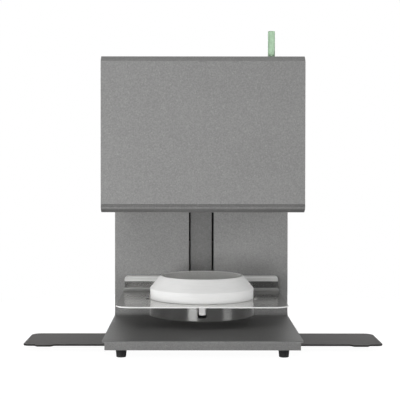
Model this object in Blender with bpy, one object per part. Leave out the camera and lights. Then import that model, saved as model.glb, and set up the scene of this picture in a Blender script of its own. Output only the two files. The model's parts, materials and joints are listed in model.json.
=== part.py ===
"""Bench sintering furnace of a dental laboratory, with a bottom-loading lift.

Metres, +Z up, the front faces -Y. The origin lies on the table under the middle of the
furnace, and the round firing chamber turns about the line X = 0, Y = 0. The lift stands
at its lowest place and both trays are pulled out.
"""

import math

import bmesh
import bpy
from mathutils import Matrix, Vector

# Fits and cuts
GAP = 0.0003
OVERRUN = 0.004
MERGE = 0.00001
SHAFT_FIT = 0.0003
SHARP_ANGLE = math.radians(34)

# Facets round a turned piece
RING_FACETS = 48
DRUM_FACETS = 40
CHAMBER_FACETS = 28
SHAFT_FACETS = 16
PIN_FACETS = 10

# Rubber feet, held by screws from below
FOOT_HEIGHT = 0.0176
FOOT_TOP_RADIUS = 0.0106
FOOT_TIP_RADIUS = 0.0086
FOOT_COLLAR = 0.0030
FOOT_RIB_DEPTH = 0.0009
FOOT_RIBS = 12
FOOT_SIDE_INSET = 0.0360
FOOT_FRONT_INSET = 0.0280
FOOT_BACK_INSET = 0.0330
FOOT_RECESS_RADIUS = 0.0050
FOOT_RECESS_DEPTH = 0.0060
FOOT_SCREW_RADIUS = 0.0020

# Drum under the lift plate, which everything round follows
DRUM_RADIUS = 0.1135
DRUM_HEIGHT = 0.0332
DRUM_SHEET = 0.0015
DRUM_EDGE_RADIUS = 0.0030
DRUM_SLOT_WIDTH = 0.0172
DRUM_SLOT_SILL = 0.0086
DRUM_SLOT_CORNER = 0.0015
LUG_WIDTH = 0.0132
LUG_LENGTH = 0.0187
LUG_DEPTH = 0.0080
LUG_CORNER = 0.0030
BASE_PLUG_SPACE = 0.0070
BASE_PLUG_STEP = 0.0055
BASE_PLUG_RADIUS = DRUM_RADIUS - DRUM_SHEET - BASE_PLUG_SPACE

# Insulation on the lift
RING_SIDE_HEIGHT = 0.0260
RING_HEIGHT = 0.0490
RING_DRUM_STEP = 0.0035
RING_SHOULDER = 0.0208
RING_RIM_WIDTH = 0.0054
RING_FOOT_BEVEL = 0.0015
RING_RADIUS = DRUM_RADIUS - RING_DRUM_STEP
RING_RIM_RADIUS = RING_RADIUS - RING_SHOULDER
RING_BORE_RADIUS = RING_RIM_RADIUS - RING_RIM_WIDTH
NECK_INSET = 0.0238
BASE_PLUG_NECK_RADIUS = RING_BORE_RADIUS - NECK_INSET
CORE_HEIGHT = 0.0220
DISH_WALL = 0.0028
DISH_FLOOR = 0.0030
DISH_RIM_DROP = 0.0020
DISH_FLOOR_RADIUS = 0.0040

# Stand: wall, base top and apron in one bent sheet
STAND_WIDTH = 0.3900
STAND_BOX_INSET = 0.0055
STAND_SHEET = 0.0030
APRON_HEIGHT = 0.0174
STAND_INNER_BEND = 0.0120
APRON_BEND = 0.0035
DRUM_FLOOR_SPACE = 0.0200
DRUM_WALL_SPACE = 0.0145
COLUMN_DEPTH = 0.0970
COLUMN_SETBACK = 0.0100
BASE_SETBACK = 0.0170
WALL_SLOT_WIDTH = 0.0560
WALL_SLOT_RISE = 0.0230
WALL_SLOT_TOP_DROP = 0.0160
PAN_SHEET = 0.0020
COVER_SHEET = 0.0020
COVER_BEND = 0.0060
STRIP_SIDE_SPACE = 0.0035
STRIP_RECESS = 0.0050
STRIP_SHEET = 0.0015
STRIP_FLANGE = 0.0070
STRIP_BEND = 0.0020

# Lift plate with its rear flange
PLATE_SHEET = 0.0025
PLATE_SIDE_SPACE = 0.0220
PLATE_FRONT_LAND = 0.0305
PLATE_FRONT_REACH = DRUM_RADIUS + PLATE_FRONT_LAND
PLATE_FRONT_CORNER = 0.0300
PLATE_BEND = 0.0040
FLANGE_RISE = 0.0340
FLANGE_SIDE_STEP = 0.0025
FLANGE_ROLL = 0.0120
FLANGE_LIP = 0.0020
FLANGE_CORNER = 0.0080
FLANGE_WALL_SPACE = 0.0130
CLIP_SHEET = 0.0012
CLIP_WIDTH = 0.0060
CLIP_FOOT = 0.0085
CLIP_RISE = 0.0095
CLIP_BEND = 0.0015
CLIP_LEAN = math.radians(8)

# Lift drive
ROD_RADIUS = 0.0060
ROD_SPACING = 0.0840
SPINDLE_RADIUS = 0.0060
JOURNAL_RADIUS = 0.0040
DRIVE_BACK_SPACE = 0.0430
BRACKET_SHEET = 0.0060
BRACKET_BEND = 0.0070
BRACKET_RISE = 0.0320
BRACKET_DEPTH = 0.0580
BRACKET_OVERHANG = 0.0280
UPPER_BRACKET_HEIGHT = 0.0125
BEARING_RADIUS = 0.0110
BEARING_HEIGHT = 0.0055
CARRIAGE_WIDTH = 0.1200
CARRIAGE_DEPTH = 0.0420
CARRIAGE_HEIGHT = 0.0480
CARRIAGE_SPACE = 0.0060
CARRIAGE_CORNER = 0.0060
NUT_RADIUS = 0.0120
NUT_FLANGE_RADIUS = 0.0190
NUT_FLANGE = 0.0030
NUT_LENGTH = 0.0300
ARM_SHEET = 0.0020
ARM_HEIGHT = 0.0420
ARM_SIDE_SPACE = 0.00075
YOKE_WIDTH = 0.0900
YOKE_SHEET = 0.0040
YOKE_DROP = 0.0290
YOKE_RISE = 0.0190
MOTOR_SPACING = 0.1000
MOTOR_SIZE = 0.0560
MOTOR_HEIGHT = 0.0640
MOTOR_CORNER = 0.0050
MOTOR_CAP_HEIGHT = 0.0120
MOTOR_STACK_INSET = 0.0015
MOTOR_BOSS_RADIUS = 0.0110
MOTOR_SHAFT_RADIUS = 0.0030
MOTOR_SHAFT_DEPTH = 0.0140
PULLEY_RADIUS = 0.0153
PULLEY_TEETH = 20
TOOTH_DEPTH = 0.0010
PULLEY_FLANGE = 0.0012
PULLEY_FLANGE_RIM = 0.0022
BELT_WIDTH = 0.0090
BELT_THICKNESS = 0.0015
BELT_SIDE_SPACE = 0.0004
TOOTH_SHARES = (0.0, 0.30, 0.50, 0.80)
PULLEY_FLOOR_SPACE = 0.0060

# Transformer and control board in the column
CORE_WIDTH = 0.0800
CORE_DEPTH = 0.0400
CORE_TALL = 0.0780
CORE_LIMB = 0.0120
CORE_CENTRE_LIMB = 0.0240
COIL_SPACE = 0.0005
COIL_BUILD = 0.0110
COIL_CORNER = 0.0060
CORE_SIDE_PLACE = 0.1180
BOARD_WIDTH = 0.0760
BOARD_HEIGHT = 0.1300
BOARD_SHEET = 0.0016
BOARD_SIDE_PLACE = 0.1150
BOARD_RISE = 0.1150
BOARD_SPACER = 0.0090
BOARD_SPACER_RADIUS = 0.0030
BOARD_SPACER_INSET = 0.0060
BOARD_PART_SHARES = (
    (-0.30, 0.34, 0.22, 0.16, 0.9),
    (0.22, 0.36, 0.30, 0.12, 0.5),
    (-0.22, 0.02, 0.34, 0.20, 0.35),
    (0.26, 0.06, 0.20, 0.24, 1.0),
    (-0.26, -0.32, 0.26, 0.18, 0.7),
    (0.20, -0.30, 0.36, 0.14, 0.45),
)
BOARD_PART_HEIGHT = 0.0120

# Connectors on the back of the column
INLET_WIDTH = 0.0480
INLET_HEIGHT = 0.0300
INLET_FLANGE = 0.0020
INLET_BODY_WIDTH = 0.0280
INLET_BODY_HEIGHT = 0.0210
INLET_BODY_DEPTH = 0.0220
INLET_CAVITY_WIDTH = 0.0240
INLET_CAVITY_HEIGHT = 0.0165
INLET_CAVITY_DEPTH = 0.0160
INLET_CAVITY_CUT = 0.0050
INLET_PIN_LENGTH = 0.0140
INLET_PIN_WIDTH = 0.0020
INLET_PIN_HEIGHT = 0.0040
INLET_PIN_SPACING = 0.0070
INLET_PIN_DROP = 0.0035
PLATE_CORNER = 0.0030
INLET_SIDE_PLACE = 0.1520
INLET_RISE = 0.0420
SWITCH_RISE = 0.0840
SWITCH_WIDTH = 0.0300
SWITCH_HEIGHT = 0.0220
SWITCH_FRAME_WALL = 0.0025
SWITCH_BODY_DEPTH = 0.0160
ROCKER_THICKNESS = 0.0050
ROCKER_AXLE_DEPTH = 0.0030
ROCKER_END_SPACE = 0.0012
ROCKER_SIDE_SPACE = 0.0004
ROCKER_TILT = math.radians(6)
FUSE_RADIUS = 0.0060
FUSE_HEAD_RADIUS = 0.0085
FUSE_HEAD = 0.0040
FUSE_DEPTH = 0.0150
FUSE_SIDE_PLACE = 0.0900
SOCKET_RADIUS = 0.0085
SOCKET_FLANGE_RADIUS = 0.0125
SOCKET_FLANGE = 0.0030
SOCKET_DEPTH = 0.0140
SOCKET_WALL = 0.0011
SOCKET_RECESS = 0.0066
SOCKET_SIDE_PLACE = 0.1500

# Trays and their rails
TRAY_SHEET = 0.0025
TRAY_DEPTH = 0.1350
TRAY_FRONT_REACH = 0.1430
TRAY_REACH = 0.3570
TRAY_LENGTH = 0.2420
LEFT_TRAY_DRAWN = 0.0023
RIGHT_TRAY_DRAWN = 0.0052
TRAY_FRONT_CORNER = 0.0120
TRAY_BACK_CORNER = 0.0200
TRAY_INNER_CORNER = 0.0030
TAB_LENGTH = 0.0340
TAB_REACH = 0.0090
TAB_LEAD = 0.0060
TAB_INSET = 0.0240
RAIL_SHEET = 0.0014
RAIL_LIP = 0.0080
RAIL_BEND = 0.0020
RAIL_PLAY = 0.0003
RAIL_SIDE_PLAY = 0.0006
RAIL_INSET = 0.0035

# Head shell
HEAD_SHEET = 0.0020
HEAD_LIP = 0.0300
HEAD_BOTTOM_BEND = 0.0160
HEAD_TOP_BEND = 0.0120
HEAD_SIDE_LIP = 0.0130
HEAD_SIDE_BEND = 0.0035
HEAD_FLOOR_RISE = 0.0320
HEAD_FLOOR_SHEET = 0.0030
HEAD_FLOOR_FLANGE = 0.0150
HEAD_FLOOR_BEND = 0.0050
HEAD_TOP_SPACE = 0.0360
CLOSED_GAP = 0.0030
LIFT_TRAVEL = 0.1900
REAR_PANEL_SET = 0.0030
REAR_PANEL_SHEET = 0.0015
VENT_LENGTH = 0.0500
VENT_WIDTH = 0.0035
VENT_PITCH = 0.0090
VENT_COUNT = 5
SLOT_ROUND_SHARE = 0.9
SIDE_VENT_INSET = 0.0450
SIDE_VENT_RISE = 0.0300
WIRE_HOLE_RADIUS = 0.0120

# Firing chamber
CHAMBER_RIM_SPACE = 0.0148
CHAMBER_WALL = 0.0460
CHAMBER_RADIUS = RING_RIM_RADIUS + CHAMBER_RIM_SPACE
CHAMBER_WALL_RADIUS = CHAMBER_RADIUS + CHAMBER_WALL
CHAMBER_HEIGHT = 0.1807
MOUTH_SPACE = 0.0032
MOUTH_HEIGHT = 0.0137
MOUTH_LEDGE = 0.0030
ROOF_THICKNESS = 0.0447
SHELL_SHEET = 0.0015
SHELL_FOOT = 0.0130
SHELL_RIM = 0.0180
FLOOR_MOUTH_SPACE = 0.0050
FLOOR_MOUTH_RADIUS = RING_RADIUS + FLOOR_MOUTH_SPACE
ELEMENT_WALL_SPACE = 0.0090
ELEMENT_CIRCLE = CHAMBER_RADIUS - ELEMENT_WALL_SPACE
ELEMENT_LEG_SPACING = 0.0360
ELEMENT_RADIUS = 0.0026
ELEMENT_TERMINAL_RADIUS = 0.0044
ELEMENT_BOTTOM_RISE = 0.0330
ELEMENT_TAPER = 0.0080
ELEMENT_TOP_RISE = 0.0200
ELEMENT_HOLE_SPACE = 0.0005
HOLDER_HEIGHT = 0.0080
HOLDER_WIDTH = 0.0160
HOLDER_OVERHANG = 0.0080
PROBE_RADIUS = 0.0030
PROBE_REACH = 0.0500
PROBE_HEAD_RADIUS = 0.0090
PROBE_HEAD = 0.0180

# Cooling fan
FAN_SIZE = 0.0800
FAN_DEPTH = 0.0250
FAN_CORNER = 0.0060
FAN_BORE_RADIUS = 0.0375
FAN_HUB_RADIUS = 0.0160
FAN_HUB_BEVEL = 0.0015
FAN_TIP_SPACE = 0.0028
FAN_BLADE_ROOT = 0.0030
FAN_BLADES = 7
FAN_BLADE_SHEET = 0.0014
FAN_BLADE_CHORD = 0.0200
FAN_BLADE_ROOT_PITCH = math.radians(48)
FAN_BLADE_TIP_PITCH = math.radians(30)
FAN_CUP = 0.0050
FAN_STRUT_WIDTH = 0.0040
FAN_PIN_RADIUS = 0.0015
FAN_CUP_FLOOR = 0.0012
FAN_SIDE_PLACE = 0.1000
FAN_TOP_DROP = 0.0900
GRILLE_MARGIN = 0.0015
GRILLE_SLOT = 0.0055
GRILLE_PITCH = 0.0090
GRILLE_RINGS = 3
GRILLE_BRIDGE = 0.0050

# Status lamp
LAMP_RADIUS = 0.0065
LAMP_RISE = 0.0505
LAMP_SIDE_PLACE = 0.1325
LAMP_SETBACK = 0.0340
LAMP_SUNK = 0.0200
LAMP_TOP_BEVEL = 0.0010
LAMP_COLLAR_RADIUS = 0.0105
LAMP_COLLAR_HEIGHT = 0.0080

# Heights that the sizes above lead to
BASE_TOP = FOOT_HEIGHT + APRON_HEIGHT
DRUM_BOTTOM = BASE_TOP + DRUM_FLOOR_SPACE
PLATE_BOTTOM = DRUM_BOTTOM + DRUM_HEIGHT + GAP
PLATE_TOP = PLATE_BOTTOM + PLATE_SHEET
RING_BOTTOM = PLATE_TOP + GAP
HEAD_BOTTOM = PLATE_TOP + LIFT_TRAVEL + CLOSED_GAP
FLOOR_UNDER = HEAD_BOTTOM + HEAD_FLOOR_RISE
FLOOR_TOP = FLOOR_UNDER + HEAD_FLOOR_SHEET
CHAMBER_BOTTOM = FLOOR_TOP + GAP
CHAMBER_TOP = CHAMBER_BOTTOM + CHAMBER_HEIGHT
ROOF_TOP = CHAMBER_TOP + GAP + ROOF_THICKNESS
HEAD_TOP = ROOF_TOP + HEAD_TOP_SPACE + HEAD_SHEET
PAN_BOTTOM = FOOT_HEIGHT + GAP
PAN_TOP = PAN_BOTTOM + PAN_SHEET

# Depths and widths that they lead to
WALL_FRONT = DRUM_RADIUS + DRUM_WALL_SPACE
WALL_BACK = WALL_FRONT + STAND_SHEET
COLUMN_BACK = WALL_FRONT + COLUMN_DEPTH
HEAD_BACK = COLUMN_BACK + COLUMN_SETBACK
HEAD_FRONT = -HEAD_BACK
BASE_FRONT = HEAD_FRONT + BASE_SETBACK
FLANGE_BACK = WALL_FRONT - FLANGE_WALL_SPACE
FLANGE_FRONT = FLANGE_BACK - PLATE_SHEET
HALF_WIDTH = STAND_WIDTH / 2
HALF_BOX = HALF_WIDTH - STAND_BOX_INSET
HALF_INSIDE = HALF_WIDTH - HEAD_SHEET
DRIVE_Y = WALL_FRONT + DRIVE_BACK_SPACE
BRACKET_TOP = PAN_TOP + BRACKET_RISE
BRACKET_FRONT = DRIVE_Y - BRACKET_DEPTH / 2
UPPER_BRACKET_BOTTOM = FLOOR_UNDER - GAP - UPPER_BRACKET_HEIGHT
CARRIAGE_BOTTOM = BRACKET_TOP + CARRIAGE_SPACE
CARRIAGE_FRONT = DRIVE_Y - CARRIAGE_DEPTH / 2
ELEMENT_TOP = ROOF_TOP + ELEMENT_TOP_RISE
TRAY_TOP = FOOT_HEIGHT - RAIL_SHEET - RAIL_PLAY
TRAY_BOTTOM = TRAY_TOP - TRAY_SHEET
REAR_PANEL_BACK = HEAD_BACK - REAR_PANEL_SET
REAR_PANEL_FRONT = REAR_PANEL_BACK - REAR_PANEL_SHEET
FAN_BACK = REAR_PANEL_FRONT - GAP
FAN_HEIGHT = HEAD_TOP - FAN_TOP_DROP
COVER_INSIDE = COLUMN_BACK - COVER_SHEET

# Colour, roughness and metallic value of each finish
FINISHES = {
    "grey_paint": ((0.300, 0.300, 0.296), 0.42, 0.60),
    "inner_steel": ((0.420, 0.420, 0.420), 0.40, 0.90),
    "tray_lacquer": ((0.105, 0.099, 0.095), 0.50, 0.20),
    "stainless": ((0.620, 0.615, 0.600), 0.28, 1.00),
    "polished_steel": ((0.600, 0.600, 0.590), 0.10, 1.00),
    "fibre_insulation": ((0.800, 0.800, 0.790), 0.90, 0.00),
    "dish_ceramic": ((0.420, 0.415, 0.405), 0.60, 0.00),
    "technical_ceramic": ((0.780, 0.760, 0.700), 0.50, 0.00),
    "rubber": ((0.018, 0.018, 0.019), 0.75, 0.00),
    "black_plastic": ((0.020, 0.020, 0.021), 0.45, 0.00),
    "lamp_green": ((0.440, 0.660, 0.450), 0.30, 0.00),
    "aluminium": ((0.700, 0.700, 0.710), 0.35, 1.00),
    "brass": ((0.600, 0.430, 0.170), 0.30, 1.00),
    "silicide": ((0.090, 0.088, 0.086), 0.55, 0.50),
    "winding": ((0.420, 0.190, 0.060), 0.45, 0.60),
    "board_green": ((0.030, 0.130, 0.060), 0.50, 0.00),
}


def finish(name):
    """Principled material of a named finish, made once."""
    found = bpy.data.materials.get(name)
    if found:
        return found
    colour, roughness, metallic = FINISHES[name]
    made = bpy.data.materials.new(name)
    made.use_nodes = True
    shader = made.node_tree.nodes["Principled BSDF"]
    shader.inputs["Base Color"].default_value = (*colour, 1)
    shader.inputs["Roughness"].default_value = roughness
    shader.inputs["Metallic"].default_value = metallic
    return made


def add_object(name, bm, look, axis=None):
    """Links a mesh as a sub-part. An axis is the empty that it moves about."""
    bmesh.ops.recalc_face_normals(bm, faces=bm.faces[:])
    origin = axis.location.copy() if axis else Vector((0, 0, 0))
    bmesh.ops.translate(bm, verts=bm.verts[:], vec=-origin)
    mesh = bpy.data.meshes.new(name)
    bm.to_mesh(mesh)
    bm.free()
    mesh.shade_smooth()
    mesh.set_sharp_from_angle(angle=SHARP_ANGLE)
    mesh.materials.append(finish(look))
    made = bpy.data.objects.new(name, mesh)
    bpy.context.scene.collection.objects.link(made)
    made.parent = axis
    return made


def add_axis(name, place):
    """Empty on a joint's axis; the pieces that move with the joint are its children."""
    made = bpy.data.objects.new(name, None)
    made.location = place
    bpy.context.scene.collection.objects.link(made)
    bpy.context.view_layer.update()
    return made


def combine(target, shapes, operation):
    """Adds one Boolean to the target for each helper mesh, which stays out of the model."""
    for number, bm in enumerate(shapes):
        helper = add_object(f"{target.name}_{operation.lower()}_{number}", bm, "inner_steel")
        helper.hide_render = True
        helper.display_type = "WIRE"
        step = target.modifiers.new(f"{operation.title()} {number}", "BOOLEAN")
        step.operation = operation
        step.solver = "EXACT"
        step.object = helper
    return target


def cut(target, *shapes):
    """Takes the shapes away from the target."""
    return combine(target, shapes, "DIFFERENCE")


def fuse(target, *shapes):
    """Joins the shapes to the target as one body."""
    return combine(target, shapes, "UNION")


def keep_within(target, *shapes):
    """Keeps only what lies in every one of the shapes."""
    return combine(target, shapes, "INTERSECT")


def prism(bm, outline, axis, low, high):
    """Solid of a closed outline drawn along X, Y or Z from low to high."""
    at = {
        "X": lambda u, v: (low, u, v),
        "Y": lambda u, v: (u, low, v),
        "Z": lambda u, v: (u, v, low),
    }[axis]
    along = {"X": (1, 0, 0), "Y": (0, 1, 0), "Z": (0, 0, 1)}[axis]
    face = bm.faces.new([bm.verts.new(at(u, v)) for u, v in outline])
    made = bmesh.ops.extrude_face_region(bm, geom=[face], use_keep_orig=True)
    moved = [v for v in made["geom"] if isinstance(v, bmesh.types.BMVert)]
    bmesh.ops.translate(bm, verts=moved, vec=Vector(along) * (high - low))
    return bm


def block(bm, low, high):
    """Solid box between two corners."""
    outline = [(low[0], low[1]), (high[0], low[1]), (high[0], high[1]), (low[0], high[1])]
    return prism(bm, outline, "Z", low[2], high[2])


def circle(radius, segments, centre=(0, 0), start=0):
    """Points round a circle, anticlockwise."""
    return [
        (
            centre[0] + radius * math.cos(start + math.tau * step / segments),
            centre[1] + radius * math.sin(start + math.tau * step / segments),
        )
        for step in range(segments)
    ]


def rod(bm, axis, centre, radius, low, high, segments=SHAFT_FACETS):
    """Solid cylinder along an axis; centre is the two other coordinates."""
    return prism(bm, circle(radius, segments, centre), axis, low, high)


def arc(centre, radius, start, end, steps):
    """Points of an arc, both ends included."""
    return [
        (
            centre[0] + radius * math.cos(start + (end - start) * step / steps),
            centre[1] + radius * math.sin(start + (end - start) * step / steps),
        )
        for step in range(steps + 1)
    ]


def rounded_rectangle(low, high, radii, steps=4):
    """Outline with its own corner radius at low-low, high-low, high-high and low-high."""
    corners = ((low[0], low[1]), (high[0], low[1]), (high[0], high[1]), (low[0], high[1]))
    inward = ((1, 1), (-1, 1), (-1, -1), (1, -1))
    points = []
    for number, (corner, towards, radius) in enumerate(zip(corners, inward, radii)):
        if radius == 0:
            points.append(corner)
            continue
        centre = (corner[0] + towards[0] * radius, corner[1] + towards[1] * radius)
        start = math.pi + number * math.pi / 2
        points += arc(centre, radius, start, start + math.pi / 2, steps)
    return points


def rounded_path(corners, radii, steps):
    """Open path through the corners, each inner corner replaced by an arc."""
    points = [Vector(corners[0])]
    for before, corner, after, radius in zip(corners, corners[1:], corners[2:], radii):
        before, corner, after = Vector(before), Vector(corner), Vector(after)
        into = (corner - before).normalized()
        out = (after - corner).normalized()
        turn = math.atan2(into.x * out.y - into.y * out.x, into.dot(out))
        start = corner - into * radius * math.tan(abs(turn) / 2)
        side = math.copysign(1, turn)
        centre = start + Vector((-into.y, into.x)) * radius * side
        for step in range(steps + 1):
            points.append(centre + Matrix.Rotation(turn * step / steps, 2) @ (start - centre))
    points.append(Vector(corners[-1]))
    return points


def shifted_corners(corners, shift):
    """The same corners moved sideways, to the left of the path where the shift is positive."""
    lines = []
    for first, second in zip(corners, corners[1:]):
        along = (Vector(second) - Vector(first)).normalized()
        lines.append((Vector(first) + Vector((-along.y, along.x)) * shift, along))
    moved = [lines[0][0]]
    for (place, along), (next_place, next_along) in zip(lines, lines[1:]):
        cross = along.x * next_along.y - along.y * next_along.x
        between = next_place - place
        moved.append(place + along * (between.x * next_along.y - between.y * next_along.x) / cross)
    last = Vector(corners[-1]) - Vector(corners[-2])
    moved.append(lines[-1][0] + last)
    return moved


def bent_sheet(bm, axis, corners, radii, sheet, side, low, high, steps=5):
    """Bent sheet metal. The corners and radii are those of one face; the sheet lies on the
    left (side 1) or the right (side -1) of that path and runs along the axis."""
    ways = []
    for before, corner, after in zip(corners, corners[1:], corners[2:]):
        into = Vector(corner) - Vector(before)
        out = Vector(after) - Vector(corner)
        ways.append(math.copysign(1, into.x * out.y - into.y * out.x))
    other = [radius - way * side * sheet for radius, way in zip(radii, ways)]
    face = rounded_path(corners, radii, steps)
    back = rounded_path(shifted_corners(corners, side * sheet), other, steps)
    outline = [tuple(point) for point in face + back[::-1]]
    return prism(bm, outline, axis, low, high)


def turn(bm, profile, segments, centre=(0, 0), hollow=False):
    """Solid turned about a vertical line. The profile runs from axis to axis, or is a closed
    loop away from it where the solid is hollow."""
    verts = [bm.verts.new((radius, 0, height)) for radius, height in profile]
    edges = [bm.edges.new(pair) for pair in zip(verts, verts[1:])]
    if hollow:
        edges.append(bm.edges.new((verts[-1], verts[0])))
    before = set(bm.verts) - set(verts)
    bmesh.ops.spin(
        bm,
        geom=verts + edges,
        axis=(0, 0, 1),
        cent=(0, 0, 0),
        angle=math.tau,
        steps=segments,
        use_merge=True,
    )
    made = [v for v in bm.verts if v not in before]
    bmesh.ops.remove_doubles(bm, verts=made, dist=MERGE)
    made = [v for v in bm.verts if v not in before]
    bmesh.ops.translate(bm, verts=made, vec=(centre[0], centre[1], 0))
    return bm


def tube(bm, outer, inner, low, high, segments, centre=(0, 0)):
    """Plain ring between two radii."""
    profile = [(inner, low), (outer, low), (outer, high), (inner, high)]
    return turn(bm, profile, segments, centre, hollow=True)


def loft(bm, loops):
    """Closed solid through loops that have the same number of points."""
    rings = [[bm.verts.new(point) for point in loop] for loop in loops]
    for lower, upper in zip(rings, rings[1:]):
        count = len(lower)
        for number in range(count):
            following = (number + 1) % count
            bm.faces.new((lower[number], lower[following], upper[following], upper[number]))
    bm.faces.new(rings[0][::-1])
    bm.faces.new(rings[-1])
    return bm


def along_y(bm, place):
    """Turns what was made along Z to run along Y, and moves it to its place."""
    bmesh.ops.rotate(bm, verts=bm.verts[:], matrix=Matrix.Rotation(-math.pi / 2, 3, "X"))
    bmesh.ops.translate(bm, verts=bm.verts[:], vec=place)
    return bm


def make_feet():
    """Four ribbed rubber feet, each with a recess for its screw."""
    places = foot_places()
    for name, (x, y) in places.items():
        bm = bmesh.new()
        levels = (
            (0, FOOT_TIP_RADIUS),
            (FOOT_HEIGHT - FOOT_COLLAR, FOOT_TOP_RADIUS),
            (FOOT_HEIGHT, FOOT_TOP_RADIUS),
        )
        loops = []
        for height, radius in levels:
            loop = []
            for number in range(FOOT_RIBS * 2):
                reach = radius - FOOT_RIB_DEPTH * (number % 2)
                angle = math.pi * number / FOOT_RIBS
                loop.append((x + reach * math.cos(angle), y + reach * math.sin(angle), height))
            loops.append(loop)
        foot = add_object(name, loft(bm, loops), "rubber")
        hole = [
            (0, -OVERRUN),
            (FOOT_RECESS_RADIUS, -OVERRUN),
            (FOOT_RECESS_RADIUS, FOOT_RECESS_DEPTH),
            (FOOT_SCREW_RADIUS + GAP, FOOT_RECESS_DEPTH),
            (FOOT_SCREW_RADIUS + GAP, FOOT_HEIGHT + OVERRUN),
            (0, FOOT_HEIGHT + OVERRUN),
        ]
        cut(foot, turn(bmesh.new(), hole, PIN_FACETS, (x, y)))


def foot_places():
    """Name and place of each foot on the floor plan."""
    side = HALF_WIDTH - FOOT_SIDE_INSET
    front = BASE_FRONT + FOOT_FRONT_INSET
    back = COLUMN_BACK - FOOT_BACK_INSET
    return {
        "foot_front_left": (-side, front),
        "foot_front_right": (side, front),
        "foot_rear_left": (-side, back),
        "foot_rear_right": (side, back),
    }


def make_stand_panel():
    """Wall, base top and apron bent from one sheet, with the slot of the lift."""
    corners = [
        (WALL_FRONT, FLOOR_UNDER - GAP),
        (WALL_FRONT, BASE_TOP),
        (BASE_FRONT, BASE_TOP),
        (BASE_FRONT, FOOT_HEIGHT),
    ]
    bm = bmesh.new()
    radii = [STAND_INNER_BEND, APRON_BEND]
    bent_sheet(bm, "X", corners, radii, STAND_SHEET, 1, -HALF_WIDTH, HALF_WIDTH, steps=6)
    panel = add_object("stand_panel", bm, "grey_paint")
    half_slot = WALL_SLOT_WIDTH / 2
    slot = block(
        bmesh.new(),
        (-half_slot, WALL_FRONT - OVERRUN, BASE_TOP + WALL_SLOT_RISE),
        (half_slot, WALL_BACK + OVERRUN, FLOOR_UNDER - WALL_SLOT_TOP_DROP),
    )
    cutters = [slot]
    for side in (-1, 1):
        inner, outer = side * HALF_BOX, side * (HALF_WIDTH + OVERRUN)
        shoulder = (
            (min(inner, outer), WALL_FRONT - OVERRUN, HEAD_BOTTOM - GAP),
            (max(inner, outer), WALL_BACK + OVERRUN, FLOOR_UNDER + OVERRUN),
        )
        cutters.append(block(bmesh.new(), *shoulder))
        apron_end = (
            (min(inner, outer), BASE_FRONT - OVERRUN, FOOT_HEIGHT - OVERRUN),
            (max(inner, outer), BASE_FRONT + STAND_BOX_INSET, BASE_TOP - STAND_SHEET),
        )
        cutters.append(block(bmesh.new(), *apron_end))
        cutters.append(base_corner_cutter(side))
    cut(panel, *cutters)


def base_corner_cutter(side):
    """What is left outside a rounded front corner of the base top."""
    radius = STAND_BOX_INSET
    centre = (side * (HALF_WIDTH - radius), BASE_FRONT + radius)
    start = 0 if side > 0 else math.pi
    turned_back = -math.pi / 2 if side > 0 else math.pi / 2
    rounding = arc(centre, radius, start, start + turned_back, 6)
    far_x = side * (HALF_WIDTH + OVERRUN)
    outline = [
        (far_x, BASE_FRONT + radius),
        *rounding,
        (side * (HALF_WIDTH - radius), BASE_FRONT - OVERRUN),
        (far_x, BASE_FRONT - OVERRUN),
    ]
    low = BASE_TOP - STAND_SHEET - OVERRUN
    return prism(bmesh.new(), outline, "Z", low, BASE_TOP + OVERRUN)


def make_base_pan():
    """Shallow pan that closes the base from below."""
    front = BASE_FRONT + STAND_SHEET + GAP
    top = BASE_TOP - STAND_SHEET - GAP
    bm = block(bmesh.new(), (-HALF_BOX, front, PAN_BOTTOM), (HALF_BOX, COLUMN_BACK, top))
    pan = add_object("base_pan", bm, "grey_paint")
    hollow = block(
        bmesh.new(),
        (-HALF_BOX + PAN_SHEET, front + PAN_SHEET, PAN_TOP),
        (HALF_BOX - PAN_SHEET, COLUMN_BACK - PAN_SHEET, top + OVERRUN),
    )
    holes = bmesh.new()
    for centre in foot_places().values():
        reach = FOOT_SCREW_RADIUS + GAP
        rod(holes, "Z", centre, reach, PAN_BOTTOM - OVERRUN, PAN_TOP + OVERRUN, PIN_FACETS)
    cut(pan, hollow, holes)


def make_column():
    """Rear cover of the column, and the strip behind the wall's slot."""
    low = BASE_TOP - STAND_SHEET
    high = FLOOR_UNDER - GAP
    front = WALL_BACK + GAP
    corners = [
        (-HALF_BOX, front),
        (-HALF_BOX, COLUMN_BACK),
        (HALF_BOX, COLUMN_BACK),
        (HALF_BOX, front),
    ]
    bm = bmesh.new()
    bent_sheet(bm, "Z", corners, [COVER_BEND, COVER_BEND], COVER_SHEET, -1, low, high)
    cover = add_object("column_cover", bm, "grey_paint")
    cut(cover, *cover_cutters())

    half = WALL_SLOT_WIDTH / 2 - STRIP_SIDE_SPACE
    face = WALL_FRONT + STRIP_RECESS
    path = [
        (-half, face + STRIP_FLANGE),
        (-half, face),
        (half, face),
        (half, face + STRIP_FLANGE),
    ]
    bm = bmesh.new()
    bends = [STRIP_BEND, STRIP_BEND]
    bent_sheet(bm, "Z", path, bends, STRIP_SHEET, 1, PAN_TOP + GAP, high, steps=3)
    add_object("slot_cover", bm, "grey_paint")


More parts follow.
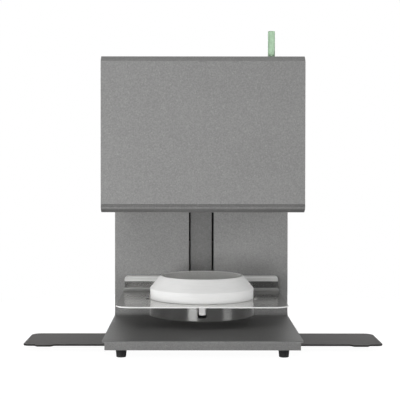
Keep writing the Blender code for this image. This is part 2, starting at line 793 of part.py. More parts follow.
def cover_cutters():
    """Openings in the back of the column cover: connectors and two rows of vents."""
    near, far = COVER_INSIDE - OVERRUN, COLUMN_BACK + OVERRUN
    holes = bmesh.new()
    side, height = INLET_SIDE_PLACE, PAN_TOP + INLET_RISE
    half_width = INLET_BODY_WIDTH / 2 + GAP
    half_height = INLET_BODY_HEIGHT / 2 + GAP
    block(
        holes,
        (side - half_width, near, height - half_height),
        (side + half_width, far, height + half_height),
    )
    height = PAN_TOP + SWITCH_RISE
    half_width = SWITCH_WIDTH / 2 - SWITCH_FRAME_WALL / 2 + GAP
    half_height = SWITCH_HEIGHT / 2 - SWITCH_FRAME_WALL / 2 + GAP
    block(
        holes,
        (side - half_width, near, height - half_height),
        (side + half_width, far, height + half_height),
    )
    rod(holes, "Y", fuse_place(), FUSE_RADIUS + GAP, near, far)
    rod(holes, "Y", socket_place(), SOCKET_RADIUS + GAP, near, far)

    vents = bmesh.new()
    top = HEAD_BOTTOM - SIDE_VENT_RISE
    for number in range(-VENT_COUNT, VENT_COUNT + 1):
        x = number * VENT_PITCH
        low = (x - VENT_WIDTH / 2, top - VENT_LENGTH)
        high = (x + VENT_WIDTH / 2, top)
        prism(vents, slot_outline(low, high, VENT_WIDTH / 2), "Y", near, far)
    return [holes, vents]


def slot_outline(low, high, radius):
    """Long slot with round ends, the long way up or across."""
    return rounded_rectangle(low, high, [radius * SLOT_ROUND_SHARE] * 4, steps=1)


def fuse_place():
    """The fuse holder on the back, in X and Z."""
    return (FUSE_SIDE_PLACE, PAN_TOP + SWITCH_RISE)


def socket_place():
    """The control unit's socket on the back, in X and Z."""
    return (-SOCKET_SIDE_PLACE, PAN_TOP + INLET_RISE)


def make_tray_rails():
    """Two channels under the base that guide both trays."""
    top = FOOT_HEIGHT
    bottom = TRAY_BOTTOM - RAIL_PLAY - RAIL_SHEET
    half = HALF_BOX - RAIL_INSET
    for name, edge, side in (
        ("tray_rail_front", -TRAY_FRONT_REACH, 1),
        ("tray_rail_rear", -TRAY_FRONT_REACH + TRAY_DEPTH, -1),
    ):
        web = edge - side * (RAIL_SIDE_PLAY + RAIL_SHEET)
        lip = web + side * RAIL_LIP
        path = [(lip, bottom), (web, bottom), (web, top), (lip, top)]
        bm = bmesh.new()
        bends = [RAIL_BEND, RAIL_BEND]
        bent_sheet(bm, "X", path, bends, RAIL_SHEET, -side, -half, half, steps=2)
        add_object(name, bm, "inner_steel")


def make_trays():
    """Flat trays of dark sheet, each with a grip tab on its front edge."""
    front, back = -TRAY_FRONT_REACH, -TRAY_FRONT_REACH + TRAY_DEPTH
    tab_outer = TRAY_REACH - TAB_INSET
    tab_inner = tab_outer - TAB_LENGTH
    right = [
        (TRAY_REACH - TRAY_LENGTH, back),
        (TRAY_REACH - TRAY_LENGTH, front),
        (tab_inner, front),
        (tab_inner + TAB_LEAD, front - TAB_REACH),
        (tab_outer - TAB_LEAD, front - TAB_REACH),
        (tab_outer, front),
        *arc(
            (TRAY_REACH - TRAY_FRONT_CORNER, front + TRAY_FRONT_CORNER),
            TRAY_FRONT_CORNER,
            -math.pi / 2,
            0,
            5,
        ),
        *arc(
            (TRAY_REACH - TRAY_BACK_CORNER, back - TRAY_BACK_CORNER),
            TRAY_BACK_CORNER,
            0,
            math.pi / 2,
            6,
        ),
    ]
    trays = (("left_tray", -1, LEFT_TRAY_DRAWN), ("right_tray", 1, RIGHT_TRAY_DRAWN))
    for name, side, drawn in trays:
        outline = [(side * (x + drawn), y) for x, y in right]
        axis = add_axis(f"{name}_slide", (side * (TRAY_REACH + drawn), front, TRAY_TOP))
        bm = prism(bmesh.new(), outline, "Z", TRAY_BOTTOM, TRAY_TOP)
        add_object(name, bm, "tray_lacquer", axis)


def make_lift_plate(axis):
    """Stainless plate with round front corners and a rear flange with a rolled edge."""
    half = HALF_WIDTH - PLATE_SIDE_SPACE
    top = PLATE_TOP + FLANGE_RISE
    corners = [
        (-PLATE_FRONT_REACH, PLATE_TOP),
        (FLANGE_FRONT, PLATE_TOP),
        (FLANGE_FRONT, top),
        (FLANGE_FRONT + FLANGE_ROLL + FLANGE_LIP, top),
    ]
    bm = bmesh.new()
    radii = [PLATE_BEND, FLANGE_ROLL]
    bent_sheet(bm, "X", corners, radii, PLATE_SHEET, -1, -half, half, steps=8)
    plate = add_object("lift_plate", bm, "stainless", axis)
    plan = rounded_rectangle(
        (-half, -PLATE_FRONT_REACH),
        (half, WALL_FRONT),
        [PLATE_FRONT_CORNER, PLATE_FRONT_CORNER, 0, 0],
        steps=10,
    )
    elevation_half = half - FLANGE_SIDE_STEP
    step_height = PLATE_TOP + FLANGE_SIDE_STEP
    crown = rounded_rectangle(
        (-elevation_half, PLATE_BOTTOM - OVERRUN),
        (elevation_half, top + GAP / 2),
        [0, 0, FLANGE_CORNER, FLANGE_CORNER],
        steps=6,
    )
    elevation = [
        (-half - OVERRUN, PLATE_BOTTOM - OVERRUN),
        (half + OVERRUN, PLATE_BOTTOM - OVERRUN),
        (half + OVERRUN, step_height),
        (elevation_half, step_height + FLANGE_SIDE_STEP),
        *crown[2:],
        (-elevation_half, step_height + FLANGE_SIDE_STEP),
        (-half - OVERRUN, step_height),
    ]
    low, high = PLATE_BOTTOM - OVERRUN, top + OVERRUN
    front, back = -PLATE_FRONT_REACH - OVERRUN, WALL_FRONT
    keep_within(
        plate,
        prism(bmesh.new(), plan, "Z", low, high),
        prism(bmesh.new(), elevation, "Y", front, back),
    )
    neck = BASE_PLUG_NECK_RADIUS + GAP
    hole = rod(bmesh.new(), "Z", (0, 0), neck, low, PLATE_TOP + OVERRUN, CHAMBER_FACETS)
    cut(plate, hole)


def make_drum(axis):
    """Thin-walled drum under the plate, with its slot and the lug in it."""
    top = DRUM_BOTTOM + DRUM_HEIGHT
    inner = DRUM_RADIUS - DRUM_SHEET
    edge = DRUM_EDGE_RADIUS
    centre = (DRUM_RADIUS - edge, DRUM_BOTTOM + edge)
    profile = [
        (0, DRUM_BOTTOM),
        *arc(centre, edge, -math.pi / 2, 0, 2),
        (DRUM_RADIUS, top),
        (inner, top),
        *arc(centre, edge - DRUM_SHEET, 0, -math.pi / 2, 1),
        (0, DRUM_BOTTOM + DRUM_SHEET),
    ]
    bm = turn(bmesh.new(), profile, DRUM_FACETS)
    drum = add_object("lift_drum", bm, "polished_steel", axis)
    half = DRUM_SLOT_WIDTH / 2
    slot = rounded_rectangle(
        (-half, DRUM_BOTTOM + DRUM_SLOT_SILL),
        (half, top + OVERRUN),
        [DRUM_SLOT_CORNER, DRUM_SLOT_CORNER, 0, 0],
        steps=3,
    )
    near, far = -DRUM_RADIUS - OVERRUN, -DRUM_RADIUS + OVERRUN
    cut(drum, prism(bmesh.new(), slot, "Y", near, far))
    half = LUG_WIDTH / 2
    lug = rounded_rectangle((-half, top - LUG_LENGTH), (half, top), [LUG_CORNER] * 2 + [0, 0], 4)
    front = -DRUM_RADIUS
    bm = prism(bmesh.new(), lug, "Y", front, front + LUG_DEPTH)
    add_object("locating_lug", bm, "fibre_insulation", axis)


def make_insulation(axis, dish_axis):
    """Base plug in the drum, core and ring on the plate, and the loose dish."""
    low = DRUM_BOTTOM + DRUM_SHEET + GAP
    profile = [
        (0, low),
        (BASE_PLUG_RADIUS, low),
        (BASE_PLUG_RADIUS, low + BASE_PLUG_STEP),
        (BASE_PLUG_NECK_RADIUS, low + BASE_PLUG_STEP),
        (BASE_PLUG_NECK_RADIUS, PLATE_TOP),
        (0, PLATE_TOP),
    ]
    bm = turn(bmesh.new(), profile, CHAMBER_FACETS)
    add_object("insulation_base", bm, "fibre_insulation", axis)

    core_top = RING_BOTTOM + CORE_HEIGHT
    core_radius = RING_BORE_RADIUS - GAP
    profile = [(0, RING_BOTTOM), (core_radius, RING_BOTTOM), (core_radius, core_top), (0, core_top)]
    bm = turn(bmesh.new(), profile, DRUM_FACETS)
    add_object("insulation_core", bm, "fibre_insulation", axis)

    shoulder = RING_BOTTOM + RING_SIDE_HEIGHT
    rim = RING_BOTTOM + RING_HEIGHT
    profile = [
        (RING_BORE_RADIUS, RING_BOTTOM),
        (RING_RADIUS - RING_FOOT_BEVEL, RING_BOTTOM),
        (RING_RADIUS, RING_BOTTOM + RING_FOOT_BEVEL),
        (RING_RADIUS, shoulder),
        (RING_RIM_RADIUS, rim),
        (RING_BORE_RADIUS, rim),
    ]
    bm = turn(bmesh.new(), profile, RING_FACETS, hollow=True)
    add_object("insulation_ring", bm, "fibre_insulation", axis)

    outer = RING_BORE_RADIUS - GAP * 2
    inner = outer - DISH_WALL
    floor = core_top + GAP
    edge = DISH_FLOOR_RADIUS
    top = rim - DISH_RIM_DROP
    centre = (inner - edge, floor + DISH_FLOOR + edge)
    profile = [
        (0, floor),
        (outer - edge / 2, floor),
        (outer, floor + edge / 2),
        (outer, top),
        (inner, top),
        *arc(centre, edge, 0, -math.pi / 2, 2),
        (0, floor + DISH_FLOOR),
    ]
    bm = turn(bmesh.new(), profile, DRUM_FACETS)
    add_object("firing_dish", bm, "dish_ceramic", dish_axis)


def make_ring_clips(axis):
    """Two bent clips that hold the insulation ring on the plate."""
    near = RING_RADIUS + GAP
    for name, angle in (("ring_clip_left", math.pi + CLIP_LEAN), ("ring_clip_right", -CLIP_LEAN)):
        path = [
            (near + CLIP_SHEET + CLIP_FOOT, RING_BOTTOM),
            (near, RING_BOTTOM),
            (near, RING_BOTTOM + CLIP_RISE),
        ]
        half = CLIP_WIDTH / 2
        bends = [CLIP_BEND + CLIP_SHEET]
        bm = bmesh.new()
        bent_sheet(bm, "Y", path, bends, CLIP_SHEET, -1, -half, half, steps=3)
        bmesh.ops.rotate(bm, verts=bm.verts[:], matrix=Matrix.Rotation(angle, 3, "Z"))
        add_object(name, bm, "stainless", axis)


def carriage_frame():
    """Low and high corner of the carriage."""
    half = CARRIAGE_WIDTH / 2
    low = (-half, CARRIAGE_FRONT, CARRIAGE_BOTTOM)
    high = (half, CARRIAGE_FRONT + CARRIAGE_DEPTH, CARRIAGE_BOTTOM + CARRIAGE_HEIGHT)
    return low, high


def make_carriage(axis):
    """Carriage on the guide rods, the spindle nut and the yoke to the plate."""
    low, high = carriage_frame()
    outline = rounded_rectangle(low[:2], high[:2], [CARRIAGE_CORNER] * 4, steps=3)
    bm = prism(bmesh.new(), outline, "Z", low[2], high[2])
    carriage = add_object("lift_carriage", bm, "aluminium", axis)
    holes = bmesh.new()
    under, over = low[2] - OVERRUN, high[2] + OVERRUN
    rod(holes, "Z", (0, DRIVE_Y), NUT_RADIUS + GAP, under, over)
    for side in (-1, 1):
        centre = (side * ROD_SPACING / 2, DRIVE_Y)
        rod(holes, "Z", centre, ROD_RADIUS + SHAFT_FIT, under, over)
    cut(carriage, holes)

    bore = SPINDLE_RADIUS + SHAFT_FIT
    flange_top = low[2] - GAP
    flange_bottom = flange_top - NUT_FLANGE
    profile = [
        (bore, flange_bottom),
        (NUT_FLANGE_RADIUS, flange_bottom),
        (NUT_FLANGE_RADIUS, flange_top),
        (NUT_RADIUS, flange_top),
        (NUT_RADIUS, flange_top + NUT_LENGTH),
        (bore, flange_top + NUT_LENGTH),
    ]
    nut = turn(bmesh.new(), profile, SHAFT_FACETS, (0, DRIVE_Y), hollow=True)
    add_object("spindle_nut", nut, "brass", axis)

    near = FLANGE_BACK + GAP
    half = YOKE_WIDTH / 2
    arm_outer = WALL_SLOT_WIDTH / 2 - ARM_SIDE_SPACE
    arm_inner = arm_outer - ARM_SHEET
    arm_top = CARRIAGE_BOTTOM + CARRIAGE_HEIGHT
    arm_bottom = arm_top - ARM_HEIGHT
    outline = [
        (-half, near),
        (half, near),
        (half, near + YOKE_SHEET),
        (arm_outer, near + YOKE_SHEET),
        (arm_outer, CARRIAGE_FRONT - GAP),
        (arm_inner, CARRIAGE_FRONT - GAP),
        (arm_inner, near + YOKE_SHEET),
        (-arm_inner, near + YOKE_SHEET),
        (-arm_inner, CARRIAGE_FRONT - GAP),
        (-arm_outer, CARRIAGE_FRONT - GAP),
        (-arm_outer, near + YOKE_SHEET),
        (-half, near + YOKE_SHEET),
    ]
    bm = prism(bmesh.new(), outline, "Z", arm_bottom, arm_top)
    add_object("lift_yoke", bm, "aluminium", axis)


def make_guides():
    """Guide rods, the two brackets that hold them and the spindle bearings."""
    rod_low, rod_high = BRACKET_TOP - BRACKET_SHEET, FLOOR_UNDER - GAP * 2
    for name, side in (("guide_rod_left", -1), ("guide_rod_right", 1)):
        centre = (side * ROD_SPACING / 2, DRIVE_Y)
        bm = rod(bmesh.new(), "Z", centre, ROD_RADIUS, rod_low, rod_high)
        add_object(name, bm, "polished_steel")

    left = -CARRIAGE_WIDTH / 2 - GAP
    right = MOTOR_SPACING + BRACKET_OVERHANG
    near, far = BRACKET_FRONT, BRACKET_FRONT + BRACKET_DEPTH
    path = [(near, PAN_TOP + GAP), (near, BRACKET_TOP), (far, BRACKET_TOP), (far, PAN_TOP + GAP)]
    bm = bmesh.new()
    bends = [BRACKET_BEND, BRACKET_BEND]
    bent_sheet(bm, "X", path, bends, BRACKET_SHEET, -1, left, right, steps=3)
    bracket = add_object("drive_bracket", bm, "inner_steel")
    holes = bmesh.new()
    under, over = BRACKET_TOP - BRACKET_SHEET - OVERRUN, BRACKET_TOP + OVERRUN
    for side in (-1, 1):
        centre = (side * ROD_SPACING / 2, DRIVE_Y)
        rod(holes, "Z", centre, ROD_RADIUS + SHAFT_FIT, under, over)
    rod(holes, "Z", (0, DRIVE_Y), BEARING_RADIUS + GAP, under, over)
    rod(holes, "Z", (MOTOR_SPACING, DRIVE_Y), MOTOR_BOSS_RADIUS + GAP, under, over)
    cut(bracket, holes)

    low, high = carriage_frame()
    top = FLOOR_UNDER - GAP
    outline = rounded_rectangle(low[:2], high[:2], [CARRIAGE_CORNER] * 4, steps=3)
    bm = prism(bmesh.new(), outline, "Z", UPPER_BRACKET_BOTTOM, top)
    upper = add_object("upper_bracket", bm, "aluminium")
    holes = bmesh.new()
    for side in (-1, 1):
        centre = (side * ROD_SPACING / 2, DRIVE_Y)
        reach = ROD_RADIUS + SHAFT_FIT
        rod(holes, "Z", centre, reach, UPPER_BRACKET_BOTTOM - OVERRUN, top + OVERRUN)
    reach = BEARING_RADIUS + GAP
    rod(holes, "Z", (0, DRIVE_Y), reach, UPPER_BRACKET_BOTTOM - OVERRUN, top + OVERRUN)
    cut(upper, holes)

    bore = JOURNAL_RADIUS + SHAFT_FIT
    for name, low in (
        ("spindle_bearing_lower", BRACKET_TOP - BEARING_HEIGHT),
        ("spindle_bearing_upper", UPPER_BRACKET_BOTTOM),
    ):
        high = low + BEARING_HEIGHT
        bm = tube(bmesh.new(), BEARING_RADIUS, bore, low, high, SHAFT_FACETS, (0, DRIVE_Y))
        add_object(name, bm, "polished_steel")


def pulley_levels():
    """Bottom and top of the toothed part of both pulleys."""
    low = PAN_TOP + PULLEY_FLOOR_SPACE
    return low, low + BELT_WIDTH + 2 * BELT_SIDE_SPACE


def toothed_outline(centre):
    """Outline of a belt pulley: flat tooth tips and flat roots."""
    points = []
    for number in range(PULLEY_TEETH * 4):
        share = (number // 4 + TOOTH_SHARES[number % 4]) / PULLEY_TEETH
        reach = PULLEY_RADIUS if number % 4 < 2 else PULLEY_RADIUS - TOOTH_DEPTH
        angle = math.tau * share
        points.append((centre[0] + reach * math.cos(angle), centre[1] + reach * math.sin(angle)))
    return points


def make_pulley(name, x, bore, axis):
    """Toothed belt pulley with a flange above and below the belt."""
    centre = (x, DRIVE_Y)
    low, high = pulley_levels()
    bm = prism(bmesh.new(), toothed_outline(centre), "Z", low, high)
    pulley = add_object(name, bm, "polished_steel", axis)
    rim = PULLEY_RADIUS + PULLEY_FLANGE_RIM
    seat = PULLEY_RADIUS - TOOTH_DEPTH * 2
    lower = [
        (0, low - PULLEY_FLANGE),
        (rim, low - PULLEY_FLANGE),
        (rim, low),
        (seat, low),
        (seat, low + PULLEY_FLANGE),
        (0, low + PULLEY_FLANGE),
    ]
    upper = [
        (0, high - PULLEY_FLANGE),
        (seat, high - PULLEY_FLANGE),
        (seat, high),
        (rim, high),
        (rim, high + PULLEY_FLANGE),
        (0, high + PULLEY_FLANGE),
    ]
    fuse(
        pulley,
        turn(bmesh.new(), lower, SHAFT_FACETS, centre),
        turn(bmesh.new(), upper, SHAFT_FACETS, centre),
    )
    if bore:
        under, over = low - PULLEY_FLANGE - OVERRUN, high + PULLEY_FLANGE + OVERRUN
        cut(pulley, rod(bmesh.new(), "Z", centre, bore, under, over))
    return pulley


def make_spindle(axis):
    """Lift spindle with a journal at each end, and its pulley."""
    low, _ = pulley_levels()
    shoulder = BRACKET_TOP + GAP
    upper_shoulder = UPPER_BRACKET_BOTTOM - GAP
    top = UPPER_BRACKET_BOTTOM + BEARING_HEIGHT + GAP
    profile = [
        (0, low - PULLEY_FLANGE),
        (JOURNAL_RADIUS, low - PULLEY_FLANGE),
        (JOURNAL_RADIUS, shoulder),
        (SPINDLE_RADIUS, shoulder),
        (SPINDLE_RADIUS, upper_shoulder),
        (JOURNAL_RADIUS, upper_shoulder),
        (JOURNAL_RADIUS, top),
        (0, top),
    ]
    bm = turn(bmesh.new(), profile, SHAFT_FACETS, (0, DRIVE_Y))
    add_object("lift_spindle", bm, "polished_steel", axis)
    make_pulley("spindle_pulley", 0, JOURNAL_RADIUS + GAP, axis)


def make_motor(axis):
    """Lift motor on the bracket, and its shaft with the pulley."""
    centre = (MOTOR_SPACING, DRIVE_Y)
    bottom = BRACKET_TOP + GAP
    top = bottom + MOTOR_HEIGHT
    levels = (
        (bottom, 0),
        (bottom + MOTOR_CAP_HEIGHT, 0),
        (bottom + MOTOR_CAP_HEIGHT, MOTOR_STACK_INSET),
        (top - MOTOR_CAP_HEIGHT, MOTOR_STACK_INSET),
        (top - MOTOR_CAP_HEIGHT, 0),
        (top, 0),
    )
    loops = []
    for height, inset in levels:
        half = MOTOR_SIZE / 2 - inset
        low = (centre[0] - half, centre[1] - half)
        high = (centre[0] + half, centre[1] + half)
        outline = rounded_rectangle(low, high, [MOTOR_CORNER] * 4, steps=2)
        loops.append([(x, y, height) for x, y in outline])
    motor = add_object("lift_motor", loft(bmesh.new(), loops), "black_plastic")
    boss_low = BRACKET_TOP - BRACKET_SHEET
    boss = rod(bmesh.new(), "Z", centre, MOTOR_BOSS_RADIUS, boss_low, bottom + OVERRUN)
    fuse(motor, boss)
    bore = MOTOR_SHAFT_RADIUS + SHAFT_FIT
    depth = bottom + MOTOR_SHAFT_DEPTH
    cut(motor, rod(bmesh.new(), "Z", centre, bore, boss_low - OVERRUN, depth))

    pulley = make_pulley("motor_pulley", MOTOR_SPACING, 0, axis)
    _, high = pulley_levels()
    tip = depth - SHAFT_FIT
    fuse(pulley, rod(bmesh.new(), "Z", centre, MOTOR_SHAFT_RADIUS, high, tip))


def belt_outline(space):
    """Loop round both pulleys at a distance from their tooth tips."""
    reach = PULLEY_RADIUS + space
    quarter = math.pi / 2
    start = arc((0, DRIVE_Y), reach, quarter, math.pi + quarter, 12)
    end = arc((MOTOR_SPACING, DRIVE_Y), reach, -quarter, quarter, 12)
    return start + end


def make_belt():
    """Belt between the motor and the spindle."""
    low = pulley_levels()[0] + BELT_SIDE_SPACE
    high = low + BELT_WIDTH
    outer = belt_outline(GAP + BELT_THICKNESS)
    inner = belt_outline(GAP)
    bm = prism(bmesh.new(), outer, "Z", low, high)
    belt = add_object("drive_belt", bm, "rubber")
    cut(belt, prism(bmesh.new(), inner, "Z", low - OVERRUN, high + OVERRUN))


def make_transformer():
    """Heating transformer on the pan: laminated core and coil."""
    centre = (-CORE_SIDE_PLACE, DRIVE_Y)
    low = PAN_TOP + GAP
    high = low + CORE_TALL
    near, far = centre[1] - CORE_DEPTH / 2, centre[1] + CORE_DEPTH / 2
    half = CORE_WIDTH / 2
    bm = block(bmesh.new(), (centre[0] - half, near, low), (centre[0] + half, far, high))
    core = add_object("transformer_core", bm, "inner_steel")
    windows = bmesh.new()
    half_limb = CORE_CENTRE_LIMB / 2
    for side in (-1, 1):
        edges = (
            centre[0] + side * half_limb,
            centre[0] + side * (half - CORE_LIMB),
        )
        block(
            windows,
            (min(edges), near - OVERRUN, low + CORE_LIMB),
            (max(edges), far + OVERRUN, high - CORE_LIMB),
        )
    cut(core, windows)

    inner = (half_limb + COIL_SPACE, CORE_DEPTH / 2 + COIL_SPACE)
    outer = (inner[0] + COIL_BUILD, inner[1] + COIL_BUILD)
    bottom = low + CORE_LIMB + COIL_SPACE
    top = high - CORE_LIMB - COIL_SPACE
    outline = rounded_rectangle(
        (centre[0] - outer[0], centre[1] - outer[1]),
        (centre[0] + outer[0], centre[1] + outer[1]),
        [COIL_CORNER] * 4,
    )
    coil = add_object("transformer_coil", prism(bmesh.new(), outline, "Z", bottom, top), "winding")
    hole = block(
        bmesh.new(),
        (centre[0] - inner[0], centre[1] - inner[1], bottom - OVERRUN),
        (centre[0] + inner[0], centre[1] + inner[1], top + OVERRUN),
    )
    cut(coil, hole)


def make_control_board():
    """Control board on spacers behind the cover, with its larger parts."""
    back = COVER_INSIDE - GAP - BOARD_SPACER
    front = back - BOARD_SHEET
    left = BOARD_SIDE_PLACE - BOARD_WIDTH / 2
    low = PAN_TOP + BOARD_RISE
    middle = (BOARD_SIDE_PLACE, low + BOARD_HEIGHT / 2)
    bm = block(bmesh.new(), (left, front, low), (left + BOARD_WIDTH, back, low + BOARD_HEIGHT))
    board = add_object("control_board", bm, "board_green")
    parts = bmesh.new()
    for across, up, width, height, rise in BOARD_PART_SHARES:
        centre = (middle[0] + across * BOARD_WIDTH, middle[1] + up * BOARD_HEIGHT)
        size = (width * BOARD_WIDTH / 2, height * BOARD_HEIGHT / 2)
        block(
            parts,
            (centre[0] - size[0], front - rise * BOARD_PART_HEIGHT, centre[1] - size[1]),
            (centre[0] + size[0], front + BOARD_SHEET / 2, centre[1] + size[1]),
        )
    spacers = bmesh.new()
    for side in (-1, 1):
        for end in (-1, 1):
            x = middle[0] + side * (BOARD_WIDTH / 2 - BOARD_SPACER_INSET)
            z = middle[1] + end * (BOARD_HEIGHT / 2 - BOARD_SPACER_INSET)
            spacer_back = COVER_INSIDE - GAP
            low_y = back - BOARD_SHEET / 2
            rod(spacers, "Y", (x, z), BOARD_SPACER_RADIUS, low_y, spacer_back, PIN_FACETS)
    fuse(board, parts, spacers)


def make_inlet():
    """Mains inlet with its cavity and three pins."""
    x, z = INLET_SIDE_PLACE, PAN_TOP + INLET_RISE
    face = COLUMN_BACK + GAP + INLET_FLANGE
    half = (INLET_WIDTH / 2, INLET_HEIGHT / 2)
    low, high = (x - half[0], z - half[1]), (x + half[0], z + half[1])
    outline = rounded_rectangle(low, high, [PLATE_CORNER] * 4, steps=3)
    bm = prism(bmesh.new(), outline, "Y", COLUMN_BACK + GAP, face)
    inlet = add_object("power_inlet", bm, "black_plastic")
    half = (INLET_BODY_WIDTH / 2, INLET_BODY_HEIGHT / 2)
    depth = face - INLET_BODY_DEPTH
    body = block(
        bmesh.new(),
        (x - half[0], depth, z - half[1]),
        (x + half[0], face - INLET_FLANGE / 2, z + half[1]),
    )
    fuse(inlet, body)
    half = (INLET_CAVITY_WIDTH / 2, INLET_CAVITY_HEIGHT / 2)
    corner = INLET_CAVITY_CUT
    cavity = [
        (x - half[0], z - half[1]),
        (x + half[0], z - half[1]),
        (x + half[0], z + half[1] - corner),
        (x + half[0] - corner, z + half[1]),
        (x - half[0] + corner, z + half[1]),
        (x - half[0], z + half[1] - corner),
    ]
    floor = face - INLET_CAVITY_DEPTH
    cut(inlet, prism(bmesh.new(), cavity, "Y", floor, face + OVERRUN))
    pins = bmesh.new()
    half = (INLET_PIN_WIDTH / 2, INLET_PIN_HEIGHT / 2)
    for number in (-1, 0, 1):
        pin_x = x + number * INLET_PIN_SPACING
        pin_z = z - INLET_PIN_DROP
        block(
            pins,
            (pin_x - half[0], floor - INLET_FLANGE / 2, pin_z - half[1]),
            (pin_x + half[0], floor + INLET_PIN_LENGTH, pin_z + half[1]),
        )
    fuse(inlet, pins)


def make_switch(axis):
    """Frame of the mains switch and its rocker."""
    x, z = INLET_SIDE_PLACE, PAN_TOP + SWITCH_RISE
    face = COLUMN_BACK + GAP + INLET_FLANGE
    half = (SWITCH_WIDTH / 2, SWITCH_HEIGHT / 2)
    low, high = (x - half[0], z - half[1]), (x + half[0], z + half[1])
    outline = rounded_rectangle(low, high, [PLATE_CORNER / 2] * 4, steps=2)
    bm = prism(bmesh.new(), outline, "Y", COLUMN_BACK + GAP, face)
    frame = add_object("switch_frame", bm, "black_plastic")
    wall = SWITCH_FRAME_WALL / 2
    body = block(
        bmesh.new(),
        (low[0] + wall, face - SWITCH_BODY_DEPTH, low[1] + wall),
        (high[0] - wall, face - INLET_FLANGE / 2, high[1] - wall),
    )
    fuse(frame, body)
    wall = SWITCH_FRAME_WALL
    hollow_depth = face - SWITCH_BODY_DEPTH + wall
    hollow = block(
        bmesh.new(),
        (low[0] + wall, hollow_depth, low[1] + wall),
        (high[0] - wall, face + OVERRUN, high[1] - wall),
    )
    cut(frame, hollow)
    reach = half[0] - wall - ROCKER_END_SPACE
    tall = half[1] - wall - ROCKER_SIDE_SPACE
    thick = ROCKER_THICKNESS / 2
    wing = thick + reach * math.tan(ROCKER_TILT)
    level = [(-reach, -thick), (reach, -thick), (reach, wing), (0, thick), (-reach, wing)]
    tilt = Matrix.Rotation(ROCKER_TILT, 2)
    pivot = Vector((axis.location.x, axis.location.y))
    outline = [tuple(pivot + tilt @ Vector(point)) for point in level]
    bm = prism(bmesh.new(), outline, "Z", z - tall, z + tall)
    add_object("switch_rocker", bm, "black_plastic", axis)


def make_fuse_and_socket():
    """Fuse holder and the round socket of the control unit."""
    x, z = fuse_place()
    profile = [
        (0, -FUSE_DEPTH),
        (FUSE_RADIUS, -FUSE_DEPTH),
        (FUSE_RADIUS, GAP),
        (FUSE_HEAD_RADIUS, GAP),
        (FUSE_HEAD_RADIUS - FUSE_HEAD / 4, GAP + FUSE_HEAD),
        (0, GAP + FUSE_HEAD),
    ]
    bm = along_y(turn(bmesh.new(), profile, SHAFT_FACETS), (x, COLUMN_BACK, z))
    add_object("fuse_holder", bm, "black_plastic")

    x, z = socket_place()
    face = GAP + SOCKET_FLANGE
    profile = [
        (0, -SOCKET_DEPTH),
        (SOCKET_RADIUS, -SOCKET_DEPTH),
        (SOCKET_RADIUS, GAP),
        (SOCKET_FLANGE_RADIUS, GAP),
        (SOCKET_FLANGE_RADIUS, face),
        (SOCKET_RADIUS - SOCKET_WALL, face),
        (SOCKET_RADIUS - SOCKET_WALL, face - SOCKET_RECESS),
        (0, face - SOCKET_RECESS),
    ]
    bm = along_y(turn(bmesh.new(), profile, SHAFT_FACETS), (x, COLUMN_BACK, z))
    add_object("control_socket", bm, "aluminium")


def make_head_shell():
    """Hood, side panels and rear panel of the head."""
    corners = [
        (HEAD_FRONT + HEAD_LIP, HEAD_BOTTOM),
        (HEAD_FRONT, HEAD_BOTTOM),
        (HEAD_FRONT, HEAD_TOP),
        (HEAD_BACK, HEAD_TOP),
    ]
    bm = bmesh.new()
    radii = [HEAD_BOTTOM_BEND, HEAD_TOP_BEND]
    bent_sheet(bm, "X", corners, radii, HEAD_SHEET, -1, -HALF_WIDTH, HALF_WIDTH, steps=8)
    hood = add_object("head_hood", bm, "grey_paint")
    low, high = HEAD_TOP - HEAD_SHEET - OVERRUN, HEAD_TOP + OVERRUN
    cut(hood, rod(bmesh.new(), "Z", lamp_place(), LAMP_RADIUS + GAP, low, high))

    inset = HEAD_SHEET + GAP
    low = (HEAD_FRONT + inset, HEAD_BOTTOM + inset)
    high = (HEAD_BACK, HEAD_TOP - inset)
    radii = [HEAD_BOTTOM_BEND - inset, 0, 0, HEAD_TOP_BEND - inset]
    side_outline = rounded_rectangle(low, high, radii, steps=8)
    for name, side in (("head_side_left", -1), ("head_side_right", 1)):
        outer = side * HALF_WIDTH
        path = [
            (outer - side * HEAD_SIDE_LIP, low[1]),
            (outer, low[1]),
            (outer, high[1] + OVERRUN),
        ]
        bm = bmesh.new()
        near, far = low[0] - OVERRUN, high[0] + OVERRUN
        bent_sheet(bm, "Y", path, [HEAD_SIDE_BEND], HEAD_SHEET, side, near, far, steps=3)
        panel = add_object(name, bm, "grey_paint")
        ends = sorted((side * (HALF_WIDTH - HEAD_SIDE_LIP * 2), side * (HALF_WIDTH + OVERRUN)))
        keep_within(panel, prism(bmesh.new(), side_outline, "X", *ends))
        inner = side * (HALF_WIDTH - HEAD_SHEET)
        ends = sorted((side * (HALF_WIDTH - HEAD_SIDE_LIP - OVERRUN), inner))
        notch_front = WALL_FRONT - FLANGE_WALL_SPACE
        notch = block(
            bmesh.new(),
            (ends[0], notch_front, low[1] - OVERRUN),
            (ends[1], high[0] + OVERRUN, low[1] + HEAD_SHEET + OVERRUN),
        )
        cut(panel, notch, side_vents(side))

    half = HALF_INSIDE - GAP
    top = HEAD_TOP - inset
    bm = block(
        bmesh.new(), (-half, REAR_PANEL_FRONT, HEAD_BOTTOM), (half, REAR_PANEL_BACK, top)
    )
    panel = add_object("rear_panel", bm, "grey_paint")
    cut(panel, fan_grille(), rear_vents())


